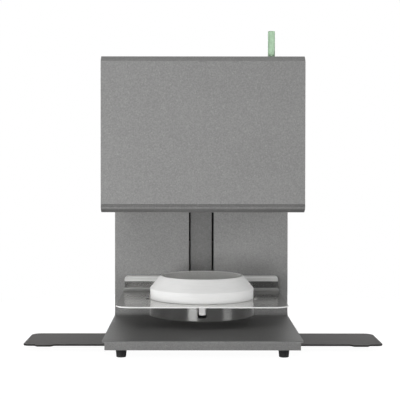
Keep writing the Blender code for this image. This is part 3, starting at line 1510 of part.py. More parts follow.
def side_vents(side):
    """Two groups of slots in a side panel, low at the back and high at the front."""
    bm = bmesh.new()
    ends = sorted((side * (HALF_INSIDE - OVERRUN), side * (HALF_WIDTH + OVERRUN)))
    for row in range(VENT_COUNT):
        for y, z in (
            (HEAD_BACK - SIDE_VENT_INSET - VENT_LENGTH, FLOOR_TOP + SIDE_VENT_RISE),
            (-HEAD_BACK + SIDE_VENT_INSET, FLOOR_TOP + SIDE_VENT_RISE),
        ):
            low = (y, z + row * VENT_PITCH)
            high = (y + VENT_LENGTH, low[1] + VENT_WIDTH)
            prism(bm, slot_outline(low, high, VENT_WIDTH / 2), "X", *ends)
    return bm


def rear_vents():
    """A group of upright slots in the rear panel, beside the fan grille."""
    bm = bmesh.new()
    for number in range(VENT_COUNT * 2 - 1):
        x = -FAN_SIDE_PLACE + (number - VENT_COUNT + 1) * VENT_PITCH
        low = (x - VENT_WIDTH / 2, FAN_HEIGHT - VENT_LENGTH / 2)
        high = (x + VENT_WIDTH / 2, FAN_HEIGHT + VENT_LENGTH / 2)
        near, far = REAR_PANEL_FRONT - OVERRUN, REAR_PANEL_BACK + OVERRUN
        prism(bm, slot_outline(low, high, VENT_WIDTH / 2), "Y", near, far)
    return bm


def fan_grille():
    """Rings of curved slots stamped in front of the fan, four to a ring."""
    bm = bmesh.new()
    near, far = REAR_PANEL_FRONT - OVERRUN, REAR_PANEL_BACK + OVERRUN
    centre = (FAN_SIDE_PLACE, FAN_HEIGHT)
    for ring in range(GRILLE_RINGS):
        outer = FAN_BORE_RADIUS - GRILLE_MARGIN - ring * GRILLE_PITCH
        inner = outer - GRILLE_SLOT
        bridge = GRILLE_BRIDGE / inner
        for quarter in range(4):
            start = quarter * math.pi / 2 + bridge / 2
            end = start + math.pi / 2 - bridge
            outline = arc(centre, outer, start, end, 3) + arc(centre, inner, end, start, 3)
            prism(bm, outline, "Y", near, far)
    return bm


def lamp_place():
    """The status lamp on the floor plan."""
    return (LAMP_SIDE_PLACE, HEAD_FRONT + LAMP_SETBACK)


def make_lamp():
    """Green status rod, with a collar that holds it under the hood."""
    collar_top = HEAD_TOP - HEAD_SHEET - GAP
    collar_low = collar_top - LAMP_COLLAR_HEIGHT
    low = HEAD_TOP - HEAD_SHEET - LAMP_SUNK
    high = HEAD_TOP + LAMP_RISE
    profile = [
        (0, low),
        (LAMP_RADIUS, low),
        (LAMP_RADIUS, collar_low),
        (LAMP_COLLAR_RADIUS, collar_low),
        (LAMP_COLLAR_RADIUS, collar_top),
        (LAMP_RADIUS, collar_top),
        (LAMP_RADIUS, high - LAMP_TOP_BEVEL),
        (LAMP_RADIUS - LAMP_TOP_BEVEL, high),
        (0, high),
    ]
    bm = turn(bmesh.new(), profile, SHAFT_FACETS, lamp_place())
    add_object("status_lamp", bm, "lamp_green")


def make_head_floor():
    """Plate that carries the chamber, with flanges for the side panels."""
    half = HALF_INSIDE - GAP
    near = HEAD_FRONT + HEAD_SHEET + GAP * 4
    far = REAR_PANEL_FRONT - GAP
    top = FLOOR_UNDER + HEAD_FLOOR_FLANGE
    path = [(-half, top), (-half, FLOOR_UNDER), (half, FLOOR_UNDER), (half, top)]
    bm = bmesh.new()
    bends = [HEAD_FLOOR_BEND, HEAD_FLOOR_BEND]
    bent_sheet(bm, "Y", path, bends, HEAD_FLOOR_SHEET, 1, near, far, steps=3)
    floor = add_object("head_floor", bm, "inner_steel")
    low, high = FLOOR_UNDER - OVERRUN, FLOOR_TOP + OVERRUN
    mouth = rod(bmesh.new(), "Z", (0, 0), FLOOR_MOUTH_RADIUS, low, high, CHAMBER_FACETS)
    wires = rod(bmesh.new(), "Z", (-CORE_SIDE_PLACE, DRIVE_Y), WIRE_HOLE_RADIUS, low, high)
    cut(floor, mouth, wires)


def element_legs():
    """Centres of the two legs of each heating element, and the way from one to the other."""
    legs = []
    for number in range(4):
        angle = math.pi / 4 + number * math.pi / 2
        out = Vector((math.cos(angle), math.sin(angle)))
        side = Vector((-out.y, out.x)) * ELEMENT_LEG_SPACING / 2
        legs.append((out * ELEMENT_CIRCLE - side, out * ELEMENT_CIRCLE + side))
    return legs


def make_chamber():
    """Conical mouth, insulation wall, roof with the element holders and steel shell."""
    wall = CHAMBER_WALL_RADIUS
    slope = (RING_RADIUS - RING_RIM_RADIUS) / (RING_HEIGHT - RING_SIDE_HEIGHT)
    closed_shoulder = RING_BOTTOM + LIFT_TRAVEL + RING_SIDE_HEIGHT
    mouth_low = RING_RADIUS + MOUTH_SPACE - slope * (CHAMBER_BOTTOM - closed_shoulder)
    mouth_high = mouth_low - slope * MOUTH_HEIGHT
    ledge = CHAMBER_BOTTOM + MOUTH_HEIGHT
    mouth_top = ledge + MOUTH_LEDGE
    profile = [
        (mouth_low, CHAMBER_BOTTOM),
        (wall, CHAMBER_BOTTOM),
        (wall, mouth_top),
        (mouth_high + MOUTH_LEDGE, mouth_top),
        (mouth_high, ledge),
    ]
    bm = turn(bmesh.new(), profile, CHAMBER_FACETS, hollow=True)
    add_object("chamber_mouth", bm, "fibre_insulation")
    low = mouth_top + GAP
    bm = tube(bmesh.new(), wall, CHAMBER_RADIUS, low, CHAMBER_TOP, CHAMBER_FACETS)
    add_object("chamber_insulation", bm, "fibre_insulation")

    profile = [(0, CHAMBER_TOP + GAP), (wall, CHAMBER_TOP + GAP), (wall, ROOF_TOP), (0, ROOF_TOP)]
    bm = turn(bmesh.new(), profile, CHAMBER_FACETS)
    roof = add_object("chamber_roof", bm, "fibre_insulation")
    holders, holes = bmesh.new(), bmesh.new()
    holder_top = ROOF_TOP + HOLDER_HEIGHT
    low, high = CHAMBER_TOP - OVERRUN, holder_top + OVERRUN
    reach = ELEMENT_TERMINAL_RADIUS + ELEMENT_HOLE_SPACE
    for first, second in element_legs():
        bar_between(holders, first, second, ROOF_TOP - OVERRUN, holder_top)
        for leg in (first, second):
            rod(holes, "Z", leg, reach, low, high, PIN_FACETS)
    rod(holes, "Z", (0, 0), PROBE_RADIUS + ELEMENT_HOLE_SPACE, low, high, PIN_FACETS)
    fuse(roof, holders)
    cut(roof, holes)

    inner = wall + GAP
    outer = inner + SHELL_SHEET
    rim_low = ROOF_TOP + GAP
    profile = [
        (inner, CHAMBER_BOTTOM),
        (outer + SHELL_FOOT, CHAMBER_BOTTOM),
        (outer + SHELL_FOOT, CHAMBER_BOTTOM + SHELL_SHEET),
        (outer, CHAMBER_BOTTOM + SHELL_SHEET),
        (outer, rim_low + SHELL_SHEET),
        (outer - SHELL_RIM, rim_low + SHELL_SHEET),
        (outer - SHELL_RIM, rim_low),
        (inner, rim_low),
    ]
    bm = turn(bmesh.new(), profile, CHAMBER_FACETS, hollow=True)
    add_object("chamber_shell", bm, "inner_steel")


def element_path(first, second):
    """Points and radius shares down one leg, round the bend and up the other."""
    across = (second - first) / 2
    middle = first + across
    half = across.length
    bend_centre = CHAMBER_BOTTOM + ELEMENT_BOTTOM_RISE + half
    taper = CHAMBER_TOP - ELEMENT_TAPER
    thick = ELEMENT_TERMINAL_RADIUS / ELEMENT_RADIUS
    legs = [(-1.0, ELEMENT_TOP, thick), (-1.0, CHAMBER_TOP, thick), (-1.0, taper, 1.0)]
    points = []
    for side, height, radius in legs:
        points.append((middle + across * side, height, radius))
    steps = 8
    for step in range(steps + 1):
        angle = math.pi + math.pi * step / steps
        place = middle + across * math.cos(angle)
        points.append((place, bend_centre + half * math.sin(angle), 1.0))
    for side, height, radius in legs[::-1]:
        points.append((middle - across * side, height, radius))
    return points


def make_elements():
    """Four U-shaped heating elements that hang from the roof."""
    for number, (first, second) in enumerate(element_legs(), 1):
        name = f"heating_element_{number}"
        curve = bpy.data.curves.new(name, "CURVE")
        curve.dimensions = "3D"
        curve.bevel_depth = ELEMENT_RADIUS
        curve.bevel_resolution = 1
        curve.use_fill_caps = True
        spline = curve.splines.new("POLY")
        points = element_path(first, second)
        spline.points.add(len(points) - 1)
        for target, (place, height, radius) in zip(spline.points, points):
            target.co = (place.x, place.y, height, 1)
            target.radius = radius
        curve.materials.append(finish("silicide"))
        made = bpy.data.objects.new(name, curve)
        bpy.context.scene.collection.objects.link(made)


def bar_between(bm, first, second, low, high):
    """Flat holder under both legs of an element."""
    along = (second - first).normalized()
    side = Vector((-along.y, along.x)) * HOLDER_WIDTH / 2
    start, end = first - along * HOLDER_OVERHANG, second + along * HOLDER_OVERHANG
    outline = [start - side, end - side, end + side, start + side]
    prism(bm, [tuple(point) for point in outline], "Z", low, high)


def make_thermocouple():
    """Ceramic sheath through the roof, with its head on top."""
    tip = CHAMBER_TOP - PROBE_REACH
    head = ROOF_TOP + GAP
    profile = [
        (0, tip),
        (PROBE_RADIUS / 2, tip),
        (PROBE_RADIUS, tip + PROBE_RADIUS / 2),
        (PROBE_RADIUS, head),
        (PROBE_HEAD_RADIUS, head),
        (PROBE_HEAD_RADIUS, head + PROBE_HEAD),
        (0, head + PROBE_HEAD),
    ]
    bm = turn(bmesh.new(), profile, PIN_FACETS)
    add_object("thermocouple", bm, "technical_ceramic")


def make_fan_frame():
    """Square fan frame with four struts and the motor cup."""
    half = FAN_SIZE / 2
    outline = rounded_rectangle((-half, -half), (half, half), [FAN_CORNER] * 4, steps=3)
    place = (FAN_SIDE_PLACE, FAN_BACK - FAN_DEPTH, FAN_HEIGHT)
    bm = along_y(prism(bmesh.new(), outline, "Z", 0, FAN_DEPTH), place)
    frame = add_object("fan_frame", bm, "black_plastic")
    end = FAN_DEPTH + OVERRUN
    bore = rod(bmesh.new(), "Z", (0, 0), FAN_BORE_RADIUS, -OVERRUN, end, CHAMBER_FACETS)
    cut(frame, along_y(bore, place))
    cup_low = FAN_DEPTH - FAN_CUP
    struts = bmesh.new()
    reach = FAN_BORE_RADIUS + FAN_CORNER / 2
    half = FAN_STRUT_WIDTH / 2
    block(struts, (-reach, -half, cup_low), (reach, half, FAN_DEPTH - GAP))
    cross = block(bmesh.new(), (-half, -reach, cup_low), (half, reach, FAN_DEPTH - GAP))
    cup = rod(bmesh.new(), "Z", (0, 0), FAN_HUB_RADIUS, cup_low - GAP / 2, FAN_DEPTH)
    fuse(frame, along_y(struts, place), along_y(cross, place), along_y(cup, place))
    hole = FAN_PIN_RADIUS + SHAFT_FIT
    socket_top = FAN_DEPTH - FAN_CUP_FLOOR
    socket = rod(bmesh.new(), "Z", (0, 0), hole, cup_low - OVERRUN, socket_top, PIN_FACETS)
    cut(frame, along_y(socket, place))


def make_fan_rotor(axis):
    """Hub with pitched blades and a pin that runs in the frame's cup."""
    place = (FAN_SIDE_PLACE, FAN_BACK - FAN_DEPTH, FAN_HEIGHT)
    hub_top = FAN_DEPTH - FAN_CUP - GAP * 2
    pin_top = FAN_DEPTH - FAN_CUP_FLOOR - SHAFT_FIT
    hub_low = GAP
    profile = [
        (0, hub_low),
        (FAN_HUB_RADIUS - FAN_HUB_BEVEL, hub_low),
        (FAN_HUB_RADIUS, hub_low + FAN_HUB_BEVEL),
        (FAN_HUB_RADIUS, hub_top),
        (FAN_PIN_RADIUS, hub_top),
        (FAN_PIN_RADIUS, pin_top),
        (0, pin_top),
    ]
    bm = along_y(turn(bmesh.new(), profile, SHAFT_FACETS), place)
    rotor = add_object("fan_rotor", bm, "black_plastic", axis)
    blades = bmesh.new()
    middle = (hub_low + hub_top) / 2
    root, tip = FAN_HUB_RADIUS - FAN_BLADE_ROOT, FAN_BORE_RADIUS - FAN_TIP_SPACE
    for number in range(FAN_BLADES):
        loops = []
        for radius, pitch in (
            (root, FAN_BLADE_ROOT_PITCH),
            ((root + tip) / 2, (FAN_BLADE_ROOT_PITCH + FAN_BLADE_TIP_PITCH) / 2),
            (tip, FAN_BLADE_TIP_PITCH),
        ):
            section = blade_section(pitch)
            loops.append([(radius, across, middle + up) for across, up in section])
        turn_to = Matrix.Rotation(math.tau * number / FAN_BLADES, 3, "Z")
        loft(blades, [[turn_to @ Vector(point) for point in loop] for loop in loops])
    fuse(rotor, along_y(blades, place))


def blade_section(pitch):
    """Slightly curved blade section, turned by its pitch."""
    half = FAN_BLADE_CHORD / 2
    camber = FAN_BLADE_SHEET
    under = [(-half, 0), (0, camber), (half, 0)]
    over = [(x, y + FAN_BLADE_SHEET) for x, y in under[::-1]]
    turn_to = Matrix.Rotation(pitch, 2)
    return [tuple(turn_to @ Vector(point)) for point in under + over]


def build():
    """Makes the whole furnace, carried pieces first."""
    make_feet()
    make_base_pan()
    make_stand_panel()
    make_column()
    make_tray_rails()
    make_trays()
    make_guides()
    make_belt()
    make_transformer()
    make_control_board()
    make_inlet()
    make_fuse_and_socket()

    lift = add_axis("lift_slide", (0, 0, PLATE_TOP))
    dish = add_axis("dish_lift", (0, 0, RING_BOTTOM + CORE_HEIGHT + GAP))
    make_lift_plate(lift)
    make_drum(lift)
    make_insulation(lift, dish)
    make_ring_clips(lift)
    make_carriage(lift)
    make_spindle(add_axis("spindle_turn", (0, DRIVE_Y, BRACKET_TOP)))
    make_motor(add_axis("motor_turn", (MOTOR_SPACING, DRIVE_Y, BRACKET_TOP)))
    switch_y = COLUMN_BACK + GAP + INLET_FLANGE - ROCKER_AXLE_DEPTH
    switch_z = PAN_TOP + SWITCH_RISE
    make_switch(add_axis("switch_tilt", (INLET_SIDE_PLACE, switch_y, switch_z)))

    make_head_shell()
    make_head_floor()
    make_chamber()
    make_elements()
    make_thermocouple()
    make_lamp()
    make_fan_frame()
    fan_y = FAN_BACK - FAN_DEPTH / 2
    make_fan_rotor(add_axis("fan_spin", (FAN_SIDE_PLACE, fan_y, FAN_HEIGHT)))


for leftover in list(bpy.data.objects):
    bpy.data.objects.remove(leftover)
build()
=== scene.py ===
"""Looks of the bench sintering furnace: smooth sheet metal and turned pieces round the CAD
frame, procedural finishes, small fasteners, floor, lamps and camera. Metres, front to -Y."""

import json
import logging
import math
from collections.abc import Callable, Iterable, Sequence
from dataclasses import dataclass, field, replace
from enum import Enum

import bmesh
import bpy
from mathutils import Matrix, Vector


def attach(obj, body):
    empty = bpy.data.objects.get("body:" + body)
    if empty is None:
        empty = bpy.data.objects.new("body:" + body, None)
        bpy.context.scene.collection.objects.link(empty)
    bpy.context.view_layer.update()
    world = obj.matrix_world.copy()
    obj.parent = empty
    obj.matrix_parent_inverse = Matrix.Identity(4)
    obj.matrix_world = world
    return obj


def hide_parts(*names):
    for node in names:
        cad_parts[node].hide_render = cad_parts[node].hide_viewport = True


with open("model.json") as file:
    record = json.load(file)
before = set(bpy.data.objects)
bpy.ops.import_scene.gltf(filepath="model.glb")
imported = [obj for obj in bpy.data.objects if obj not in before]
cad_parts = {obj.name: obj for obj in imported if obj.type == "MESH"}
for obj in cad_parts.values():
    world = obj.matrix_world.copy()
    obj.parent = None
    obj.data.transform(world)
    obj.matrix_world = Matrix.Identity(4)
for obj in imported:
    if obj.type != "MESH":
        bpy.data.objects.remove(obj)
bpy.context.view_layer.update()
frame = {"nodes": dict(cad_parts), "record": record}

logging.basicConfig(level=logging.INFO, format="%(message)s")
log = logging.getLogger("furnace")

Point = tuple[float, float, float]
Flat = tuple[float, float]

MERGE = 1e-6
TINY = 1e-5
GAP = 0.0003
SHARP = math.radians(35)
ROUND_SEGMENTS = 128
SMALL_SEGMENTS = 32


class Axis(Enum):
    """Axis that a sheet or a hole runs along, with the two others in order."""

    X = (0, 1, 2)
    Y = (1, 0, 2)
    Z = (2, 0, 1)

    def point(self, along: float, first: float, second: float) -> Vector:
        """Point from its place along the axis and on the two other ones.

        Args:
            along: place along this axis.
            first: place on the first of the two others.
            second: place on the second one.

        Returns:
            The point.
        """
        made = Vector((0, 0, 0))
        made[self.value[0]], made[self.value[1]], made[self.value[2]] = along, first, second
        return made


class Pattern(Enum):
    """What the surface of a finish shows close up."""

    FLECK = "fleck"
    GRAIN = "grain"
    TURNED = "turned"
    CELLS = "cells"


# Bench work: operators on one mesh at a time


def clear_selection() -> None:
    """Leaves edit mode and deselects everything."""
    if bpy.context.mode != "OBJECT":
        bpy.ops.object.mode_set(mode="OBJECT")
    bpy.ops.object.select_all(action="DESELECT")


def take(*objects: bpy.types.Object) -> bpy.types.Object:
    """Selects only these objects and makes the first one active.

    Args:
        objects: what to select.

    Returns:
        The first object.
    """
    clear_selection()
    for obj in objects:
        obj.select_set(True)
    bpy.context.view_layer.objects.active = objects[0]
    return objects[0]


def settle(obj: bpy.types.Object, name: str = "") -> bpy.types.Object:
    """Moves an object's place, turn and scale into its mesh.

    Args:
        obj: the object to settle.
        name: a new name for it, or nothing to keep its own.

    Returns:
        The same object.
    """
    take(obj)
    bpy.ops.object.transform_apply(location=True, rotation=True, scale=True)
    if name:
        obj.name = obj.data.name = name
    return obj


def pick(obj: bpy.types.Object, kind: str, test: Callable[..., bool]) -> int:
    """Selects what passes a test, in edit mode.

    Args:
        obj: the object in edit mode.
        kind: VERT, EDGE or FACE.
        test: called with each element of that kind.

    Returns:
        How many elements were selected.
    """
    bpy.ops.mesh.select_mode(type=kind)
    bpy.ops.mesh.select_all(action="DESELECT")
    mesh = bmesh.from_edit_mesh(obj.data)
    elements = {"VERT": mesh.verts, "EDGE": mesh.edges, "FACE": mesh.faces}[kind]
    found = [element for element in elements if test(element)]
    for element in found:
        element.select_set(True)
    mesh.select_flush_mode()
    bmesh.update_edit_mesh(obj.data)
    return len(found)


def open_mesh(obj: bpy.types.Object) -> None:
    """Puts one object in edit mode."""
    take(obj)
    bpy.ops.object.mode_set(mode="EDIT")


def close_mesh() -> None:
    """Leaves edit mode."""
    bpy.ops.object.mode_set(mode="OBJECT")


def modify(obj: bpy.types.Object, kind: str, **values: object) -> bpy.types.Object:
    """Adds a modifier with these values and applies it.

    Args:
        obj: the object to change.
        kind: Blender's type of the modifier.
        values: its settings.

    Returns:
        The same object.
    """
    take(obj)
    bpy.ops.object.modifier_add(type=kind)
    modifier = obj.modifiers[-1]
    for key, value in values.items():
        setattr(modifier, key, value)
    bpy.ops.object.modifier_apply(modifier=modifier.name)
    return obj


def start_point(name: str, place: Vector) -> bpy.types.Object:
    """A mesh of one vertex, left in edit mode and selected.

    Args:
        name: the object's name.
        place: where the vertex lies.

    Returns:
        The new object.
    """
    clear_selection()
    bpy.ops.mesh.primitive_plane_add(size=1, location=(0, 0, 0))
    obj = bpy.context.object
    obj.name = obj.data.name = name
    bpy.ops.object.mode_set(mode="EDIT")
    bpy.ops.mesh.select_mode(type="VERT")
    bpy.ops.mesh.select_all(action="SELECT")
    bpy.ops.mesh.merge(type="CENTER")
    bpy.ops.transform.translate(value=place)
    return obj


def draw_line(name: str, points: Sequence[Vector], closed: bool = False) -> bpy.types.Object:
    """A line of edges through the points, left in edit mode.

    Args:
        name: the object's name.
        points: the points in order.
        closed: joins the last point to the first one.

    Returns:
        The new object.
    """
    obj = start_point(name, points[0])
    bpy.ops.mesh.select_mode(type="VERT")
    for before, after in zip(points, points[1:]):
        bpy.ops.mesh.extrude_vertices_move(TRANSFORM_OT_translate={"value": after - before})
    if closed:
        ends = (points[0], points[-1])
        pick(obj, "VERT", lambda v: min((v.co - end).length for end in ends) < TINY)
        bpy.ops.mesh.edge_face_add()
    return obj


def turned(
    name: str, profile: Sequence[Flat], closed: bool, segments: int = ROUND_SEGMENTS
) -> bpy.types.Object:
    """A piece turned about the Z axis from a profile of radius and height.

    Args:
        name: the object's name.
        profile: points of radius and height; an open one starts and ends on the axis.
        closed: the profile is a loop away from the axis.
        segments: steps of the full turn.

    Returns:
        The new object, in object mode.
    """
    obj = draw_line(name, [Vector((radius, 0, height)) for radius, height in profile], closed)
    bpy.ops.mesh.select_all(action="SELECT")
    bpy.ops.mesh.spin(steps=segments, angle=math.tau, center=(0, 0, 0), axis=(0, 0, 1))
    bpy.ops.mesh.select_all(action="SELECT")
    bpy.ops.mesh.remove_doubles(threshold=MERGE)
    bpy.ops.mesh.normals_make_consistent(inside=False)
    close_mesh()
    return obj


def stand_at(
    obj: bpy.types.Object, place: Point, lean: Point = (0.0, 0.0, 0.0)
) -> bpy.types.Object:
    """Turns a settled piece about the origin and moves it to its place.

    Args:
        obj: the piece.
        place: where its origin goes.
        lean: its turn about X, Y and Z.

    Returns:
        The piece, settled again.
    """
    obj.rotation_euler = lean
    obj.location = place
    return settle(obj)


def rounded(corners: Sequence[Flat], radii: Sequence[float], steps: int) -> list[Flat]:
    """A path whose inner corners are arcs.

    Args:
        corners: the path's corners.
        radii: one radius for each corner between the first and the last.
        steps: segments of each arc.

    Returns:
        The points of the path.
    """
    points = [Vector(corners[0])]
    for before, corner, after, radius in zip(corners, corners[1:], corners[2:], radii):
        if radius <= 0:
            points.append(Vector(corner))
            continue
        into = (Vector(corner) - Vector(before)).normalized()
        out = (Vector(after) - Vector(corner)).normalized()
        bend = math.atan2(into.x * out.y - into.y * out.x, into.dot(out))
        start = Vector(corner) - into * radius * math.tan(abs(bend) / 2)
        centre = start + Vector((-into.y, into.x)) * math.copysign(radius, bend)
        for step in range(steps + 1):
            points.append(centre + Matrix.Rotation(bend * step / steps, 2) @ (start - centre))
    points.append(Vector(corners[-1]))
    return [(point.x, point.y) for point in points]


def sheet_metal(
    name: str,
    axis: Axis,
    corners: Sequence[Flat],
    radii: Sequence[float],
    ends: Flat,
    sheet: float,
    outward: Point,
    steps: int = 12,
) -> bpy.types.Object:
    """A bent sheet: one edge drawn along the axis, pulled round the corners, then bevelled
    at its bends and given its thickness.

    Args:
        name: the object's name.
        axis: the axis that the bends run along.
        corners: path of the outer face, in the two other coordinates.
        radii: outer radius of each bend.
        ends: where the sheet starts and ends along the axis.
        sheet: thickness of the sheet.
        outward: where the first flat faces.
        steps: segments of each bend.

    Returns:
        The new object, in object mode.
    """
    start = axis.point(ends[0], *corners[0])
    obj = draw_line(name, [start, axis.point(ends[1], *corners[0])])
    bpy.ops.mesh.select_mode(type="EDGE")
    bpy.ops.mesh.select_all(action="SELECT")
    for before, after in zip(corners, corners[1:]):
        step = axis.point(0, after[0] - before[0], after[1] - before[1])
        bpy.ops.mesh.extrude_edges_move(TRANSFORM_OT_translate={"value": step})
    for number, radius in enumerate(radii, 1):
        place = corners[number]
        into = Vector(place) - Vector(corners[number - 1])
        out = Vector(corners[number + 1]) - Vector(place)
        at = [axis.point(end, *place) for end in ends]
        pick(
            obj,
            "EDGE",
            lambda e: all(min((v.co - p).length for p in at) < TINY for v in e.verts),
        )
        reach = radius * math.tan(into.angle(out) / 2)
        bpy.ops.mesh.bevel(
            offset=reach, segments=steps, profile=0.5, affect="EDGES", clamp_overlap=False
        )
    bpy.ops.mesh.select_all(action="SELECT")
    bpy.ops.mesh.normals_make_consistent(inside=False)
    first = Vector((corners[0][0] + corners[1][0], corners[0][1] + corners[1][1])) / 2
    middle = axis.point((ends[0] + ends[1]) / 2, first.x, first.y)
    mesh = bmesh.from_edit_mesh(obj.data)
    nearest = min(mesh.faces, key=lambda f: (f.calc_center_median() - middle).length)
    if nearest.normal.dot(Vector(outward)) < 0:
        bpy.ops.mesh.flip_normals()
    close_mesh()
    return modify(obj, "SOLIDIFY", thickness=sheet, offset=-1, use_even_offset=True)


def slab(
    name: str, axis: Axis, outline: Sequence[Flat], low: float, high: float
) -> bpy.types.Object:
    """A flat piece: its outline drawn, filled and pulled up along the axis.

    Args:
        name: the object's name.
        axis: the axis that the thickness runs along.
        outline: closed outline in the two other coordinates.
        low: where it starts.
        high: where it ends.

    Returns:
        The new object, in object mode.
    """
    obj = draw_line(name, [axis.point(low, *point) for point in outline], closed=True)
    bpy.ops.mesh.select_all(action="SELECT")
    bpy.ops.mesh.edge_face_add()
    rise = axis.point(high - low, 0, 0)
    bpy.ops.mesh.extrude_region_move(TRANSFORM_OT_translate={"value": rise})
    bpy.ops.mesh.select_all(action="SELECT")
    bpy.ops.mesh.normals_make_consistent(inside=False)
    close_mesh()
    return obj


def panel_outline(low: Flat, high: Flat, radii: Sequence[float], steps: int = 8) -> list[Flat]:
    """Rectangle with a radius at low-low, high-low, high-high and low-high.

    Args:
        low: its corner with the lowest values.
        high: the opposite corner.
        radii: the four radii in that order.
        steps: segments of each corner.

    Returns:
        The closed outline, from the middle of its low side.
    """
    middle = ((low[0] + high[0]) / 2, low[1])
    corners = [middle, (high[0], low[1]), high, (low[0], high[1]), low, middle]
    return rounded(corners, [radii[1], radii[2], radii[3], radii[0]], steps)[:-1]


def rod(
    name: str, axis: Axis, centre: Flat, radius: float, ends: Flat, segments: int = SMALL_SEGMENTS
) -> bpy.types.Object:
    """A round bar along an axis, the raw shape of pins, bores and cutters.

    Args:
        name: the object's name.
        axis: the axis that it runs along.
        centre: its centre in the two other coordinates.
        radius: its radius.
        ends: where it starts and ends.
        segments: its sides.

    Returns:
        The new object.
    """
    outline = [
        (
            centre[0] + radius * math.cos(math.tau * step / segments),
            centre[1] + radius * math.sin(math.tau * step / segments),
        )
        for step in range(segments)
    ]
    return slab(name, axis, outline, *ends)


def join(name: str, objects: Sequence[bpy.types.Object]) -> bpy.types.Object:
    """Joins several meshes into one object.

    Args:
        name: name of the joined object.
        objects: what is joined.

    Returns:
        The joined object.
    """
    take(*objects)
    if len(objects) > 1:
        bpy.ops.object.join()
    made = bpy.context.view_layer.objects.active
    made.name = made.data.name = name
    return made


def carve(
    obj: bpy.types.Object, cutters: Sequence[bpy.types.Object], operation: str = "DIFFERENCE"
) -> bpy.types.Object:
    """Cuts with helper pieces, which are then thrown away.

    Args:
        obj: the piece to cut.
        cutters: helpers that don't overlap each other.
        operation: DIFFERENCE, INTERSECT or UNION.

    Returns:
        The piece.
    """
    helper = join("cutter", cutters)
    modify(obj, "BOOLEAN", object=helper, operation=operation, solver="EXACT")
    bpy.data.objects.remove(helper)
    return obj


def soften(obj: bpy.types.Object, width: float, segments: int = 2) -> bpy.types.Object:
    """Rounds the sharp edges by a small radius.

    Args:
        obj: the piece.
        width: the radius.
        segments: segments of each edge.

    Returns:
        The piece.
    """
    return modify(
        obj,
        "BEVEL",
        width=width,
        segments=segments,
        limit_method="ANGLE",
        angle_limit=SHARP,
        use_clamp_overlap=True,
        miter_outer="MITER_ARC",
    )


def spread(
    model: bpy.types.Object, name: str, moves: Iterable[Matrix]
) -> bpy.types.Object:
    """Copies a finished model to several places and joins the copies.

    Args:
        model: the piece to repeat, at the origin; it is used up.
        name: name of the joined piece.
        moves: a matrix for each copy.

    Returns:
        The joined piece.
    """
    copies = []
    for move in moves:
        take(model)
        bpy.ops.object.duplicate()
        copy = bpy.context.view_layer.objects.active
        copy.matrix_world = move
        copies.append(settle(copy))
    bpy.data.objects.remove(model)
    return join(name, copies)


def refined_copy(node: str, name: str, width: float, segments: int = 2) -> bpy.types.Object:
    """A copy of a CAD node with merged corners and softened edges.

    Args:
        node: the node's name.
        name: name of the copy.
        width: radius of its edges.
        segments: segments of each edge.

    Returns:
        The copy.
    """
    source = frame["nodes"][node]
    hidden = source.hide_viewport
    source.hide_viewport = False
    take(source)
    bpy.ops.object.duplicate()
    copy = bpy.context.view_layer.objects.active
    source.hide_viewport = hidden
    for key in [key for key in copy.keys() if key.startswith("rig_")]:
        del copy[key]
    place = copy.matrix_world.copy()
    copy.parent = None
    copy.matrix_world = place
    copy.data.materials.clear()
    copy.name = copy.data.name = name
    open_mesh(copy)
    bpy.ops.mesh.select_all(action="SELECT")
    bpy.ops.mesh.remove_doubles(threshold=MERGE)
    bpy.ops.mesh.dissolve_limited(angle_limit=math.radians(1))
    close_mesh()
    if width:
        soften(copy, width, segments)
    return copy


# Shader groups that several finishes share


